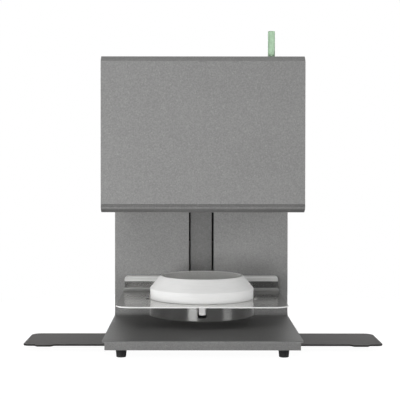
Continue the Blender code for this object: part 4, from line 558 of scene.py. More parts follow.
class GroupBuilder:
    """Builds one shader node group with named inputs and outputs."""

    def __init__(self, name: str, inputs: dict[str, float | tuple], outputs: dict[str, str]):
        """Makes the group's sockets.

        Args:
            name: name of the group.
            inputs: socket names and starting values; a tuple of 4 is a colour, of 3 a vector.
            outputs: socket names and their kinds.
        """
        self.tree = bpy.data.node_groups.new(name, "ShaderNodeTree")
        for socket, value in inputs.items():
            kind = "NodeSocketFloat"
            if isinstance(value, tuple):
                kind = "NodeSocketColor" if len(value) == 4 else "NodeSocketVector"
            made = self.tree.interface.new_socket(socket, in_out="INPUT", socket_type=kind)
            made.default_value = value
        for socket, kind in outputs.items():
            self.tree.interface.new_socket(socket, in_out="OUTPUT", socket_type=kind)
        self.entry = self.tree.nodes.new("NodeGroupInput")
        self.exit = self.tree.nodes.new("NodeGroupOutput")

    def node(self, kind: str, **values: object) -> bpy.types.Node:
        """Adds a node with these settings.

        Args:
            kind: Blender's type of the node.
            values: its settings.

        Returns:
            The node.
        """
        made = self.tree.nodes.new(kind)
        for key, value in values.items():
            setattr(made, key, value)
        return made

    def link(self, output: bpy.types.NodeSocket, target: bpy.types.NodeSocket) -> None:
        """Joins two sockets."""
        self.tree.links.new(output, target)

    def put(self, socket: bpy.types.NodeSocket, value: object) -> None:
        """Links or sets one input.

        Args:
            socket: the input.
            value: a socket to link or a plain value.
        """
        if isinstance(value, bpy.types.NodeSocket):
            self.link(value, socket)
        else:
            socket.default_value = value

    def maths(self, operation: str, *values: object) -> bpy.types.NodeSocket:
        """A Math node on sockets and numbers.

        Args:
            operation: Blender's name of the operation.
            values: one for each input.

        Returns:
            The result.
        """
        made = self.node("ShaderNodeMath", operation=operation)
        for socket, value in zip(made.inputs, values):
            self.put(socket, value)
        return made.outputs[0]

    def noise(self, vector: object, scale: object, detail: float = 2.0) -> bpy.types.NodeSocket:
        """Value of a noise texture.

        Args:
            vector: where it is read.
            scale: its scale.
            detail: its detail.

        Returns:
            The value, about 0.5 on average.
        """
        made = self.node("ShaderNodeTexNoise")
        self.link(vector, made.inputs["Vector"])
        self.put(made.inputs["Scale"], scale)
        made.inputs["Detail"].default_value = detail
        return made.outputs["Fac"]

    def span(self, value: object, low: float, high: float, to: Flat = (0.0, 1.0)) -> object:
        """Value stretched from one range to another, clamped.

        Args:
            value: what is stretched.
            low: start of its range.
            high: end of its range.
            to: the range that it gets.

        Returns:
            The result.
        """
        made = self.node("ShaderNodeMapRange")
        self.put(made.inputs["Value"], value)
        for socket, number in zip(("From Min", "From Max", "To Min", "To Max"), (low, high, *to)):
            made.inputs[socket].default_value = number
        return made.outputs["Result"]

    def shade(self, colour: object, factor: object) -> bpy.types.NodeSocket:
        """Colour multiplied by a value.

        Args:
            colour: the colour.
            factor: the value.

        Returns:
            The colour that results.
        """
        made = self.node("ShaderNodeVectorMath", operation="SCALE")
        self.put(made.inputs[0], colour)
        self.put(made.inputs["Scale"], factor)
        return made.outputs[0]

    def blend(self, factor: object, first: object, second: object) -> bpy.types.NodeSocket:
        """Mix of two colours.

        Args:
            factor: 0 gives the first colour, 1 the second.
            first: the first colour.
            second: the second colour.

        Returns:
            The mixed colour.
        """
        made = self.node("ShaderNodeMix", data_type="RGBA")
        self.put(made.inputs[0], factor)
        self.put(made.inputs[6], first)
        self.put(made.inputs[7], second)
        return made.outputs[2]

    def finish(self, **outputs: bpy.types.NodeSocket) -> bpy.types.NodeTree:
        """Links the outputs by name, with _ for a space.

        Args:
            outputs: a socket for each output.

        Returns:
            The finished group.
        """
        for name, socket in outputs.items():
            self.link(socket, self.exit.inputs[name.replace("_", " ")])
        return self.tree


SURFACE_INPUTS = {
    "Vector": (0.0, 0.0, 0.0),
    "Color": (0.5, 0.5, 0.5, 1.0),
    "Roughness": 0.5,
    "Scale": 100.0,
    "Contrast": 0.1,
    "Cloud": 0.04,
}
SURFACE_OUTPUTS = {
    "Color": "NodeSocketColor",
    "Roughness": "NodeSocketFloat",
    "Height": "NodeSocketFloat",
}


def surface_group(pattern: Pattern) -> bpy.types.NodeTree:
    """Node group of a close-up pattern, built once.

    Args:
        pattern: which pattern.

    Returns:
        The group, with colour, roughness and height.
    """
    name = f"surface_{pattern.value}"
    found = bpy.data.node_groups.get(name)
    if found:
        return found
    group = GroupBuilder(name, SURFACE_INPUTS, SURFACE_OUTPUTS)
    socket = group.entry.outputs
    vector, scale = socket["Vector"], socket["Scale"]
    cloud = group.noise(vector, 9.0, 3.0)
    if pattern is Pattern.TURNED:
        parts = group.node("ShaderNodeSeparateXYZ")
        group.link(vector, parts.inputs[0])
        x, y, z = parts.outputs
        radius = group.maths(
            "SQRT", group.maths("ADD", group.maths("MULTIPLY", x, x), group.maths("MULTIPLY", y, y))
        )
        rings = group.node("ShaderNodeCombineXYZ")
        group.link(radius, rings.inputs[0])
        group.link(z, rings.inputs[1])
        group.link(group.maths("MULTIPLY", group.maths("ARCTAN2", y, x), 0.01), rings.inputs[2])
        fine = group.noise(rings.outputs[0], scale, 3.0)
    elif pattern is Pattern.CELLS:
        cells = group.node("ShaderNodeTexVoronoi")
        group.link(vector, cells.inputs["Vector"])
        group.link(scale, cells.inputs["Scale"])
        fine = group.node("ShaderNodeSeparateColor")
        group.link(cells.outputs["Color"], fine.inputs[0])
        fine = fine.outputs[0]
    else:
        fine = group.noise(vector, scale, 2.0)
    spread_value = group.span(fine, 0.30, 0.70, (-1.0, 1.0))
    if pattern is Pattern.FLECK:
        cells = group.node("ShaderNodeTexVoronoi")
        group.link(vector, cells.inputs["Vector"])
        group.link(group.maths("MULTIPLY", scale, 1.3), cells.inputs["Scale"])
        parts = group.node("ShaderNodeSeparateColor")
        group.link(cells.outputs["Color"], parts.inputs[0])
        flake = group.span(parts.outputs[0], 0.90, 1.0, (0.0, 1.6))
        spread_value = group.maths("ADD", spread_value, flake)
    change = group.maths("MULTIPLY", spread_value, socket["Contrast"])
    clouds = group.maths("MULTIPLY", group.span(cloud, 0.3, 0.7, (-1.0, 1.0)), socket["Cloud"])
    factor = group.maths("ADD", group.maths("ADD", change, clouds), 1.0)
    rough = group.maths("MULTIPLY_ADD", spread_value, 0.03, socket["Roughness"])
    return group.finish(
        Color=group.shade(socket["Color"], factor),
        Roughness=group.maths("MAXIMUM", rough, 0.02),
        Height=fine,
    )


def wear_group() -> bpy.types.NodeTree:
    """Node group that lightens worn edges and darkens concave corners, built once.

    Returns:
        The group, with the colour that results.
    """
    found = bpy.data.node_groups.get("edge_wear")
    if found:
        return found
    inputs = {
        "Color": (0.5, 0.5, 0.5, 1.0),
        "Worn Color": (0.6, 0.6, 0.6, 1.0),
        "Wear": 0.2,
        "Corner Darkening": 0.1,
        "Vector": (0.0, 0.0, 0.0),
    }
    group = GroupBuilder("edge_wear", inputs, {"Color": "NodeSocketColor"})
    socket = group.entry.outputs
    place = group.node("ShaderNodeNewGeometry")
    pointed = place.outputs["Pointiness"]
    breakup = group.noise(socket["Vector"], 60.0, 4.0)
    edge = group.maths("MULTIPLY", group.span(pointed, 0.52, 0.62), group.span(breakup, 0.35, 0.65))
    # Concave places, found by pointiness, get darker.
    corner = group.span(pointed, 0.48, 0.40)
    worn = group.blend(
        group.maths("MULTIPLY", edge, socket["Wear"]), socket["Color"], socket["Worn Color"]
    )
    corner_darkened = group.shade(
        worn, group.maths("SUBTRACT", 1.0, group.maths("MULTIPLY", corner, socket["Corner Darkening"]))
    )
    return group.finish(Color=corner_darkened)


@dataclass(frozen=True)
class Finish:
    """One finish: its base values, its close-up pattern and how it wears."""

    slot: str
    colour: Point
    roughness: float
    metallic: float = 0.0
    pattern: Pattern = Pattern.GRAIN
    scale: float = 400.0
    stretch: Point = (1.0, 1.0, 1.0)
    contrast: float = 0.06
    cloud: float = 0.03
    relief: float = 0.0
    depth: float = 0.0002
    wear: float = 0.0
    worn: Point = (0.5, 0.5, 0.5)
    corner_darkening: float = 0.0
    extra: dict[str, float] = field(default_factory=dict)
    round_axis: bool = False

    def material(self, name: str = "") -> bpy.types.Material:
        """The procedural material of this finish, made once.

        Args:
            name: name of the material; the slot's name if there is none.

        Returns:
            The material.
        """
        name = name or self.slot
        found = bpy.data.materials.get(f"look_{name}")
        if found:
            return found
        made = bpy.data.materials.new(f"look_{name}")
        made.use_nodes = True
        tree = made.node_tree
        shader = tree.nodes["Principled BSDF"]
        place = tree.nodes.new("ShaderNodeTexCoord")
        mapping = tree.nodes.new("ShaderNodeMapping")
        mapping.inputs["Scale"].default_value = self.stretch
        tree.links.new(place.outputs["Object"], mapping.inputs["Vector"])
        surface = tree.nodes.new("ShaderNodeGroup")
        surface.node_tree = surface_group(self.pattern)
        tree.links.new(mapping.outputs[0], surface.inputs["Vector"])
        surface.inputs["Color"].default_value = (*self.colour, 1.0)
        surface.inputs["Roughness"].default_value = self.roughness
        surface.inputs["Scale"].default_value = self.scale
        surface.inputs["Contrast"].default_value = self.contrast
        surface.inputs["Cloud"].default_value = self.cloud
        colour = surface.outputs["Color"]
        if self.wear or self.corner_darkening:
            worn = tree.nodes.new("ShaderNodeGroup")
            worn.node_tree = wear_group()
            tree.links.new(place.outputs["Object"], worn.inputs["Vector"])
            tree.links.new(colour, worn.inputs["Color"])
            worn.inputs["Worn Color"].default_value = (*self.worn, 1.0)
            worn.inputs["Wear"].default_value = self.wear
            worn.inputs["Corner Darkening"].default_value = self.corner_darkening
            colour = worn.outputs["Color"]
        tree.links.new(colour, shader.inputs["Base Color"])
        tree.links.new(surface.outputs["Roughness"], shader.inputs["Roughness"])
        if self.relief:
            bump = tree.nodes.new("ShaderNodeBump")
            bump.inputs["Strength"].default_value = self.relief
            bump.inputs["Distance"].default_value = self.depth
            tree.links.new(surface.outputs["Height"], bump.inputs["Height"])
            tree.links.new(bump.outputs["Normal"], shader.inputs["Normal"])
        if self.round_axis:
            tangent = tree.nodes.new("ShaderNodeTangent")
            tangent.direction_type = "RADIAL"
            tangent.axis = "Z"
            tree.links.new(tangent.outputs[0], shader.inputs["Tangent"])
        shader.inputs["Metallic"].default_value = self.metallic
        for socket, value in self.extra.items():
            shader.inputs[socket].default_value = value
        return made


FINISHES = {
    look.slot: look
    for look in (
        Finish("grey_paint", (0.300, 0.299, 0.296), 0.48, 0.0, Pattern.FLECK, 380.0,
               contrast=0.13, cloud=0.02, relief=0.10, wear=0.25, worn=(0.40, 0.40, 0.39),
               corner_darkening=0.15,
               extra={"Specular IOR Level": 0.35}),
        Finish("inner_steel", (0.45, 0.45, 0.445), 0.38, 0.85, Pattern.CELLS, 110.0,
               contrast=0.08, cloud=0.05, corner_darkening=0.2),
        Finish("tray_lacquer", (0.070, 0.066, 0.063), 0.50, 0.0, Pattern.FLECK, 500.0,
               contrast=0.08, relief=0.10, wear=0.35, worn=(0.22, 0.21, 0.20),
               extra={"Specular IOR Level": 0.35}),
        Finish("stainless", (0.64, 0.635, 0.62), 0.17, 1.0, Pattern.GRAIN, 90.0,
               stretch=(0.25, 14.0, 14.0), contrast=0.03),
        Finish("polished_steel", (0.60, 0.60, 0.59), 0.22, 1.0, Pattern.TURNED, 1800.0,
               contrast=0.03, extra={"Anisotropic": 0.85, "Anisotropic Rotation": 0.25},
               round_axis=True),
        Finish("fibre_insulation", (0.93, 0.93, 0.92), 0.92, 0.0, Pattern.TURNED, 420.0,
               contrast=0.02, cloud=0.02, relief=0.16, depth=0.0003, corner_darkening=0.08),
        Finish("dish_ceramic", (0.72, 0.715, 0.70), 0.62, 0.0, Pattern.GRAIN, 520.0,
               contrast=0.05, relief=0.15),
        Finish("technical_ceramic", (0.78, 0.76, 0.70), 0.45, contrast=0.03),
        Finish("rubber", (0.060, 0.060, 0.061), 0.55, 0.0, Pattern.GRAIN, 900.0,
               contrast=0.15, relief=0.2, wear=0.6, worn=(0.16, 0.16, 0.16), corner_darkening=0.7),
        Finish("black_plastic", (0.020, 0.020, 0.021), 0.42, 0.0, Pattern.GRAIN, 1200.0,
               contrast=0.12, relief=0.2, wear=0.3, worn=(0.07, 0.07, 0.07)),
        Finish("lamp_green", (0.52, 0.745, 0.52), 0.28, 0.0, Pattern.GRAIN, 80.0,
               contrast=0.02, cloud=0.02, extra={"Coat Weight": 0.2}),
        Finish("aluminium", (0.68, 0.68, 0.69), 0.34, 1.0, Pattern.GRAIN, 120.0,
               stretch=(1.0, 1.0, 12.0), contrast=0.05, relief=0.04),
        Finish("brass", (0.60, 0.43, 0.17), 0.28, 1.0, Pattern.TURNED, 1500.0, contrast=0.06),
        Finish("silicide", (0.09, 0.088, 0.086), 0.5, 0.4, Pattern.GRAIN, 500.0,
               contrast=0.15, relief=0.15),
        Finish("winding", (0.42, 0.19, 0.06), 0.4, 0.5, Pattern.GRAIN, 160.0,
               stretch=(1.0, 1.0, 9.0), contrast=0.2, relief=0.3, depth=0.0005),
        Finish("board_green", (0.03, 0.13, 0.06), 0.45, 0.0, Pattern.CELLS, 260.0, contrast=0.15),
    )
}


def deliver(
    obj: bpy.types.Object,
    body: str,
    slot: str,
    replaces: Sequence[str] = (),
    look: bpy.types.Material | None = None,
) -> bpy.types.Object:
    """Shades a piece, gives it its finish, and seats it on its body.

    Args:
        obj: the finished mesh.
        body: the CAD body it rides on.
        slot: the record's material slot.
        replaces: CAD nodes it stands for.
        look: another material than the slot's own one.

    Returns:
        The piece.
    """
    take(obj)
    bpy.ops.object.shade_smooth_by_angle(angle=SHARP)
    modify(obj, "WEIGHTED_NORMAL", keep_sharp=True, weight=60)
    obj.data.materials.clear()
    obj.data.materials.append(look or FINISHES[slot].material())
    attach(obj, body)
    if replaces:
        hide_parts(*replaces)
    log.info("%s rides on %s, %d faces", obj.name, body, len(obj.data.polygons))
    return obj


def painted_light_zone(slot: str, zone: str, **changes: object) -> bpy.types.Material:
    """A finish with some values changed, for one zone of a piece; the zones here carry painted
    shade and painted highlights.

    Args:
        slot: the finish that it starts from.
        zone: the zone, which ends the material's name.
        changes: the values that differ.

    Returns:
        The material.
    """
    return replace(FINISHES[slot], **changes).material(f"{slot}_{zone}")


def paint_faces(
    obj: bpy.types.Object, look: bpy.types.Material, test: Callable[[bmesh.types.BMFace], bool]
) -> None:
    """Gives the faces that pass a test another finish of the same material.

    Args:
        obj: the piece.
        look: the other material.
        test: tells whether a face gets it.
    """
    obj.data.materials.append(look)
    obj.active_material_index = len(obj.data.materials) - 1
    open_mesh(obj)
    pick(obj, "FACE", test)
    bpy.ops.object.material_slot_assign()
    close_mesh()


# Sub-assemblies


@dataclass
class Head:
    """Box-shaped head: hood, side panels and status rod; its rear panel stays the CAD node."""

    half_width: float = 0.195
    front: float = -0.235
    back: float = 0.235
    bottom: float = 0.284
    top: float = 0.583
    sheet: float = 0.002
    lip: float = 0.030
    bottom_facet: Flat = (0.015, 0.007)
    top_facet: Flat = (0.0135, 0.010)
    groove: Flat = (0.0114, 0.0162)
    groove_depth: float = 0.0014
    groove_painted_shade: Point = (0.185, 0.184, 0.182)
    lower_painted_shade: Point = (0.225, 0.224, 0.222)
    inset: float = 0.0023
    side_lip: float = 0.013
    side_bend: float = 0.0035
    notch_front: float = 0.115
    lamp: Flat = (0.1325, -0.201)
    lamp_radius: float = 0.0068
    lamp_top: float = 0.6335
    vent: Flat = (0.050, 0.0035)
    vent_pitch: float = 0.009
    vent_rows: int = 5
    vent_low: float = 0.349
    vent_inset: float = 0.045

    def hood(self) -> None:
        """Bottom lip, lower facet, front with its groove, upper facet and top, from one sheet, with
        painted shade in the groove and on the lowest band.
        """
        corners = [
            (self.front + self.lip, self.bottom),
            (self.front + self.bottom_facet[0], self.bottom),
            (self.front, self.bottom + self.bottom_facet[1]),
            (self.front, self.top - self.top_facet[1]),
            (self.front + self.top_facet[0], self.top),
            (self.back, self.top),
        ]
        radii = [0.004, 0.003, 0.0025, 0.004]
        ends = (-self.half_width, self.half_width)
        hood = sheet_metal("hood", Axis.X, corners, radii, ends, self.sheet, (0, 0, -1), 5)
        reach = (self.top - self.sheet * 3, self.top + self.sheet)
        hole = rod("hole", Axis.Z, self.lamp, self.lamp_radius + GAP, reach)
        low, high = (self.bottom + height for height in self.groove)
        deep = self.front + self.groove_depth
        ahead, slope = self.front - 0.001, 0.0012
        outline = [
            (ahead, low),
            (self.front, low),
            (deep, low + slope),
            (deep, high - slope),
            (self.front, high),
            (ahead, high),
        ]
        reach_out = self.half_width + self.sheet
        carve(hood, [hole, slab("groove", Axis.X, outline, -reach_out, reach_out)])
        soften(hood, 0.0004)
        deliver(hood, "stand", "grey_paint", ["head_hood"])
        # Painted shade: the groove's faces get a darker grey than the hood.
        paint_faces(
            hood,
            painted_light_zone("grey_paint", "groove", colour=self.groove_painted_shade),
            lambda face: low < face.calc_center_median().z < high
            and self.front + 0.0001 < face.calc_center_median().y < deep + 0.0002,
        )
        # Painted shade: the front's lowest band and the lower facet get a darker grey.
        paint_faces(
            hood,
            painted_light_zone("grey_paint", "lower", colour=self.lower_painted_shade),
            lambda face: face.calc_center_median().z < low
            and face.normal.y < -0.2
            and face.calc_center_median().y < self.front + self.bottom_facet[0],
        )

    def side_outline(self) -> list[Flat]:
        """Outline of a side panel inside the hood, in Y and Z.

        Returns:
            The six corners, which follow the hood's facets.
        """
        near, low, high = self.front + self.inset, self.bottom + self.inset, self.top - self.inset
        return [
            (near, self.top - self.top_facet[1] - 0.0015),
            (near, self.bottom + self.bottom_facet[1] + 0.002),
            (self.front + self.bottom_facet[0] + 0.0015, low),
            (self.back, low),
            (self.back, high),
            (self.front + self.top_facet[0] + 0.0015, high),
        ]

    def side(self, name: str, node: str, way: int) -> None:
        """One side panel with its lip and its two groups of vents.

        Args:
            name: name of the piece.
            node: CAD node it stands for.
            way: -1 for the left panel, 1 for the right one.
        """
        outer = way * self.half_width
        low, high = self.bottom + self.inset, self.top
        corners = [(outer - way * self.side_lip, low), (outer, low), (outer, high)]
        near, far = self.front, self.back + self.sheet
        panel = sheet_metal(
            name, Axis.Y, corners, [self.side_bend], (near, far), self.sheet, (0, 0, -1), 6
        )
        ends = sorted((way * (self.half_width - self.side_lip * 2), way * (self.half_width + GAP)))
        carve(panel, [slab("keep", Axis.X, self.side_outline(), *ends)], "INTERSECT")
        inner = way * (self.half_width - self.sheet - GAP / 2)
        ends = sorted((way * (self.half_width - self.side_lip * 2), inner))
        notch = panel_outline(
            (self.notch_front, low - self.sheet),
            (self.back + self.sheet, low + self.sheet * 1.5),
            (0, 0, 0, 0),
        )
        ends_out = sorted((way * (self.half_width - self.sheet * 2), way * (self.half_width + GAP)))
        cutters = [slab("notch", Axis.X, notch, *ends)]
        for row in range(self.vent_rows):
            height = self.vent_low + row * self.vent_pitch
            for y in (self.back - self.vent_inset - self.vent[0], self.front + self.vent_inset):
                outline = panel_outline(
                    (y, height),
                    (y + self.vent[0], height + self.vent[1]),
                    [self.vent[1] * 0.49] * 4,
                    6,
                )
                cutters.append(slab("vent", Axis.X, outline, *ends_out))
        carve(panel, cutters)
        soften(panel, 0.0003)
        deliver(panel, "stand", "grey_paint", [node])

    def status_rod(self) -> None:
        """Green status rod that stands through the hood."""
        radius = self.lamp_radius
        base = self.top - self.sheet - 0.020
        profile = rounded(
            [(0, base), (radius, base), (radius, self.lamp_top), (0, self.lamp_top)],
            [0.0005, 0.0012],
            6,
        )
        lamp = turned("status_rod", profile, False, 48)
        stand_at(lamp, (*self.lamp, 0))
        deliver(lamp, "stand", "lamp_green", ["status_lamp"])

    def build(self) -> None:
        """Makes all pieces of the head."""
        self.hood()
        self.side("side_panel_left", "head_side_left", -1)
        self.side("side_panel_right", "head_side_right", 1)
        self.status_rod()


@dataclass
class Stand:
    """Bent stand with its column cover, dust filter, slot strip and feet; the base pan is dressed
    with the inside pieces.
    """

    half_width: float = 0.195
    half_box: float = 0.1895
    wall: float = 0.128
    wall_top: float = 0.3157
    base_front: float = -0.218
    base_top: float = 0.035
    base_bottom: float = 0.0176
    sheet: float = 0.003
    inner_bend: float = 0.012
    apron_bend: float = 0.0035
    slot: Flat = (0.028, 0.058)
    slot_top: float = 0.300
    shoulder: float = 0.2837
    column_back: float = 0.225
    cover_sheet: float = 0.002
    filter_half: float = 0.054
    filter_low: float = 0.196
    filter_high: float = 0.262
    strip_half: float = 0.0245
    strip_face: float = 0.133
    strip_sheet: float = 0.0015
    strip_depth: float = 0.007
    strip_low: float = 0.0202
    strip_grey_and_painted_shade: Point = (0.215, 0.214, 0.212)
    foot_height: float = 0.0176
    foot_top: float = 0.0108
    foot_tip: float = 0.0094
    foot_collar: float = 0.003
    foot_recess: Flat = (0.005, 0.006)
    foot_ribs: int = 16
    rib_gap: Flat = (0.3, 0.8)
    rib_waist: float = 0.85
    feet: tuple[tuple[str, float, float], ...] = (
        ("foot_front_left", -0.159, -0.190),
        ("foot_front_right", 0.159, -0.190),
        ("foot_rear_left", -0.159, 0.192),
        ("foot_rear_right", 0.159, 0.192),
    )

    def panel(self) -> None:
        """Wall, base top and apron with the lift's slot."""
        corners = [
            (self.wall, self.wall_top),
            (self.wall, self.base_top),
            (self.base_front, self.base_top),
            (self.base_front, self.base_bottom),
        ]
        radii = [self.inner_bend, self.apron_bend]
        ends = (-self.half_width, self.half_width)
        panel = sheet_metal("stand_sheet", Axis.X, corners, radii, ends, self.sheet, (0, -1, 0), 16)
        near, far = self.wall - self.sheet, self.wall + self.sheet * 2
        slot = panel_outline(
            (-self.slot[0], self.slot[1]), (self.slot[0], self.slot_top), [0.0008] * 4, 3
        )
        cutters = [slab("slot", Axis.Y, slot, near, far)]
        reach = self.half_width + self.sheet
        radius = self.half_width - self.half_box
        for way in (-1, 1):
            xs = sorted((way * self.half_box, way * reach))
            shoulder = panel_outline(
                (xs[0], self.shoulder), (xs[1], self.wall_top + self.sheet), (0, 0, 0, 0)
            )
            cutters.append(slab("shoulder", Axis.Y, shoulder, near, far))
            apron = panel_outline(
                (xs[0], self.base_bottom - self.sheet),
                (xs[1], self.base_top - self.sheet),
                (0, 0, 0, 0),
            )
            ends = (self.base_front - 0.002, self.base_front + radius)
            cutters.append(slab("apron", Axis.Y, apron, *ends))
        carve(panel, cutters)
        corners_out = []
        for way in (-1, 1):
            x, y = way * (self.half_width - radius), self.base_front + radius
            arc = [
                (x + way * radius * math.cos(t), y - radius * math.sin(t))
                for t in (math.pi / 2 * step / 8 for step in range(9))
            ]
            ahead, side = self.base_front - self.sheet, way * reach
            outline = arc + [(x, ahead), (side, ahead), (side, y)]
            ends = (self.base_top - self.sheet - 0.002, self.base_top + 0.002)
            corners_out.append(slab("corner", Axis.Z, outline, *ends))
        carve(panel, corners_out)
        soften(panel, 0.0006)
        deliver(panel, "stand", "grey_paint", ["stand_panel"])

    def strip(self) -> None:
        """Narrow strip behind the wall's slot, darker grey: partly its own colour, partly painted
        shade of the recess.
        """
        half, face, back = self.strip_half, self.strip_face, self.strip_face + self.strip_depth
        corners = [(-half, back), (-half, face), (half, face), (half, back)]
        ends = (self.strip_low, self.wall_top)
        strip = sheet_metal(
            "slot_strip", Axis.Z, corners, [0.002, 0.002], ends, self.strip_sheet, (-1, 0, 0), 5
        )
        soften(strip, 0.0003)
        # Darker grey of the strip: partly its own colour, partly painted shade of the recess.
        darker = painted_light_zone("grey_paint", "strip", colour=self.strip_grey_and_painted_shade)
        deliver(strip, "stand", "grey_paint", ["slot_cover"], darker)

    def foot(self) -> bpy.types.Object:
        """One ribbed rubber foot.

        Returns:
            The foot, at the origin.
        """
        recess, depth = self.foot_recess
        height, collar = self.foot_height, self.foot_height - self.foot_collar
        profile = rounded(
            [
                (0, depth),
                (recess, depth),
                (recess, 0),
                (self.foot_tip, 0),
                (self.foot_top, collar),
                (self.foot_top, height),
                (0, height),
            ],
            [0.0004, 0.0004, 0.0012, 0.0003, 0.0004],
            4,
        )
        foot = turned("foot", profile, False, self.foot_ribs * 8)
        open_mesh(foot)
        pitch = math.tau / self.foot_ribs
        start, stop = self.rib_gap

        def in_groove(vert: bmesh.types.BMVert) -> bool:
            """Outer points between two ribs, below the collar.

            Args:
                vert: the point.

            Returns:
                Whether it lies in a groove.
            """
            reach = math.hypot(vert.co.x, vert.co.y)
            share = (math.atan2(vert.co.y, vert.co.x) / pitch) % 1
            return reach > 0.0065 and 0.0012 < vert.co.z < collar - TINY and start < share < stop

        pick(foot, "VERT", in_groove)
        waist = (self.rib_waist, self.rib_waist, 1)
        bpy.ops.transform.resize(value=waist, center_override=(0, 0, 0))
        close_mesh()
        return foot

    def make_feet(self) -> None:
        """Four feet, each with its screw in the recess."""
        model = self.foot()
        for node, x, y in self.feet:
            take(model)
            bpy.ops.object.duplicate()
            foot = bpy.context.view_layer.objects.active
            foot.name = foot.data.name = f"{node}_rubber"
            stand_at(foot, (x, y, 0))
            deliver(foot, "stand", "rubber", [node])
        bpy.data.objects.remove(model)

    def column(self) -> None:
        """Rear cover of the column with its vents."""
        cover = refined_copy("column_cover", "column_cover_dressed", 0.0004)
        deliver(cover, "stand", "grey_paint", ["column_cover"])
        inner = self.column_back - self.cover_sheet - GAP
        low, high = self.filter_low, self.filter_high
        outline = panel_outline((-self.filter_half, low), (self.filter_half, high), [0.003] * 4, 5)
        pad = slab("dust_filter", Axis.Y, outline, inner - 0.002, inner)
        soften(pad, 0.0004)
        deliver(pad, "stand", "black_plastic")

    def build(self) -> None:
        """Makes all pieces of the stand."""
        self.panel()
        self.strip()
        self.column()
        self.make_feet()


@dataclass
class Tray:
    """One flat side tray with its grip tab."""

    name: str
    node: str
    body: str
    way: int
    drawn: float
    tab: Flat
    inner: float = 0.115
    outer: float = 0.357
    front: float = -0.143
    back: float = -0.008
    bottom: float = 0.0126
    top: float = 0.0159
    tab_reach: float = 0.009
    tab_lead: float = 0.006
    edge_painted_shade: Point = (0.030, 0.029, 0.028)

    def build(self) -> None:
        """Outline, thickness and rounded edges of the tray."""
        corners = [
            (self.inner + 0.02, self.front),
            (self.tab[0], self.front),
            (self.tab[0] + self.tab_lead, self.front - self.tab_reach),
            (self.tab[1] - self.tab_lead, self.front - self.tab_reach),
            (self.tab[1], self.front),
            (self.outer, self.front),
            (self.outer, self.back),
            (self.inner, self.back),
            (self.inner, self.front),
            (self.inner + 0.02, self.front),
        ]
        radii = [0.004, 0.003, 0.003, 0.004, 0.012, 0.020, 0.001, 0.001]
        path = rounded(corners, radii, 8)[:-1]
        outline = [(self.way * (x + self.drawn), y) for x, y in path]
        tray = slab(self.name, Axis.Z, outline, self.bottom, self.top)
        soften(tray, 0.0006, 3)
        deliver(tray, self.body, "tray_lacquer", [self.node])
        # Painted shade: the tray's edge faces get a darker lacquer.
        edge = painted_light_zone("tray_lacquer", "edge", colour=self.edge_painted_shade)
        paint_faces(tray, edge, lambda face: -0.9 < face.normal.z < 0.3)


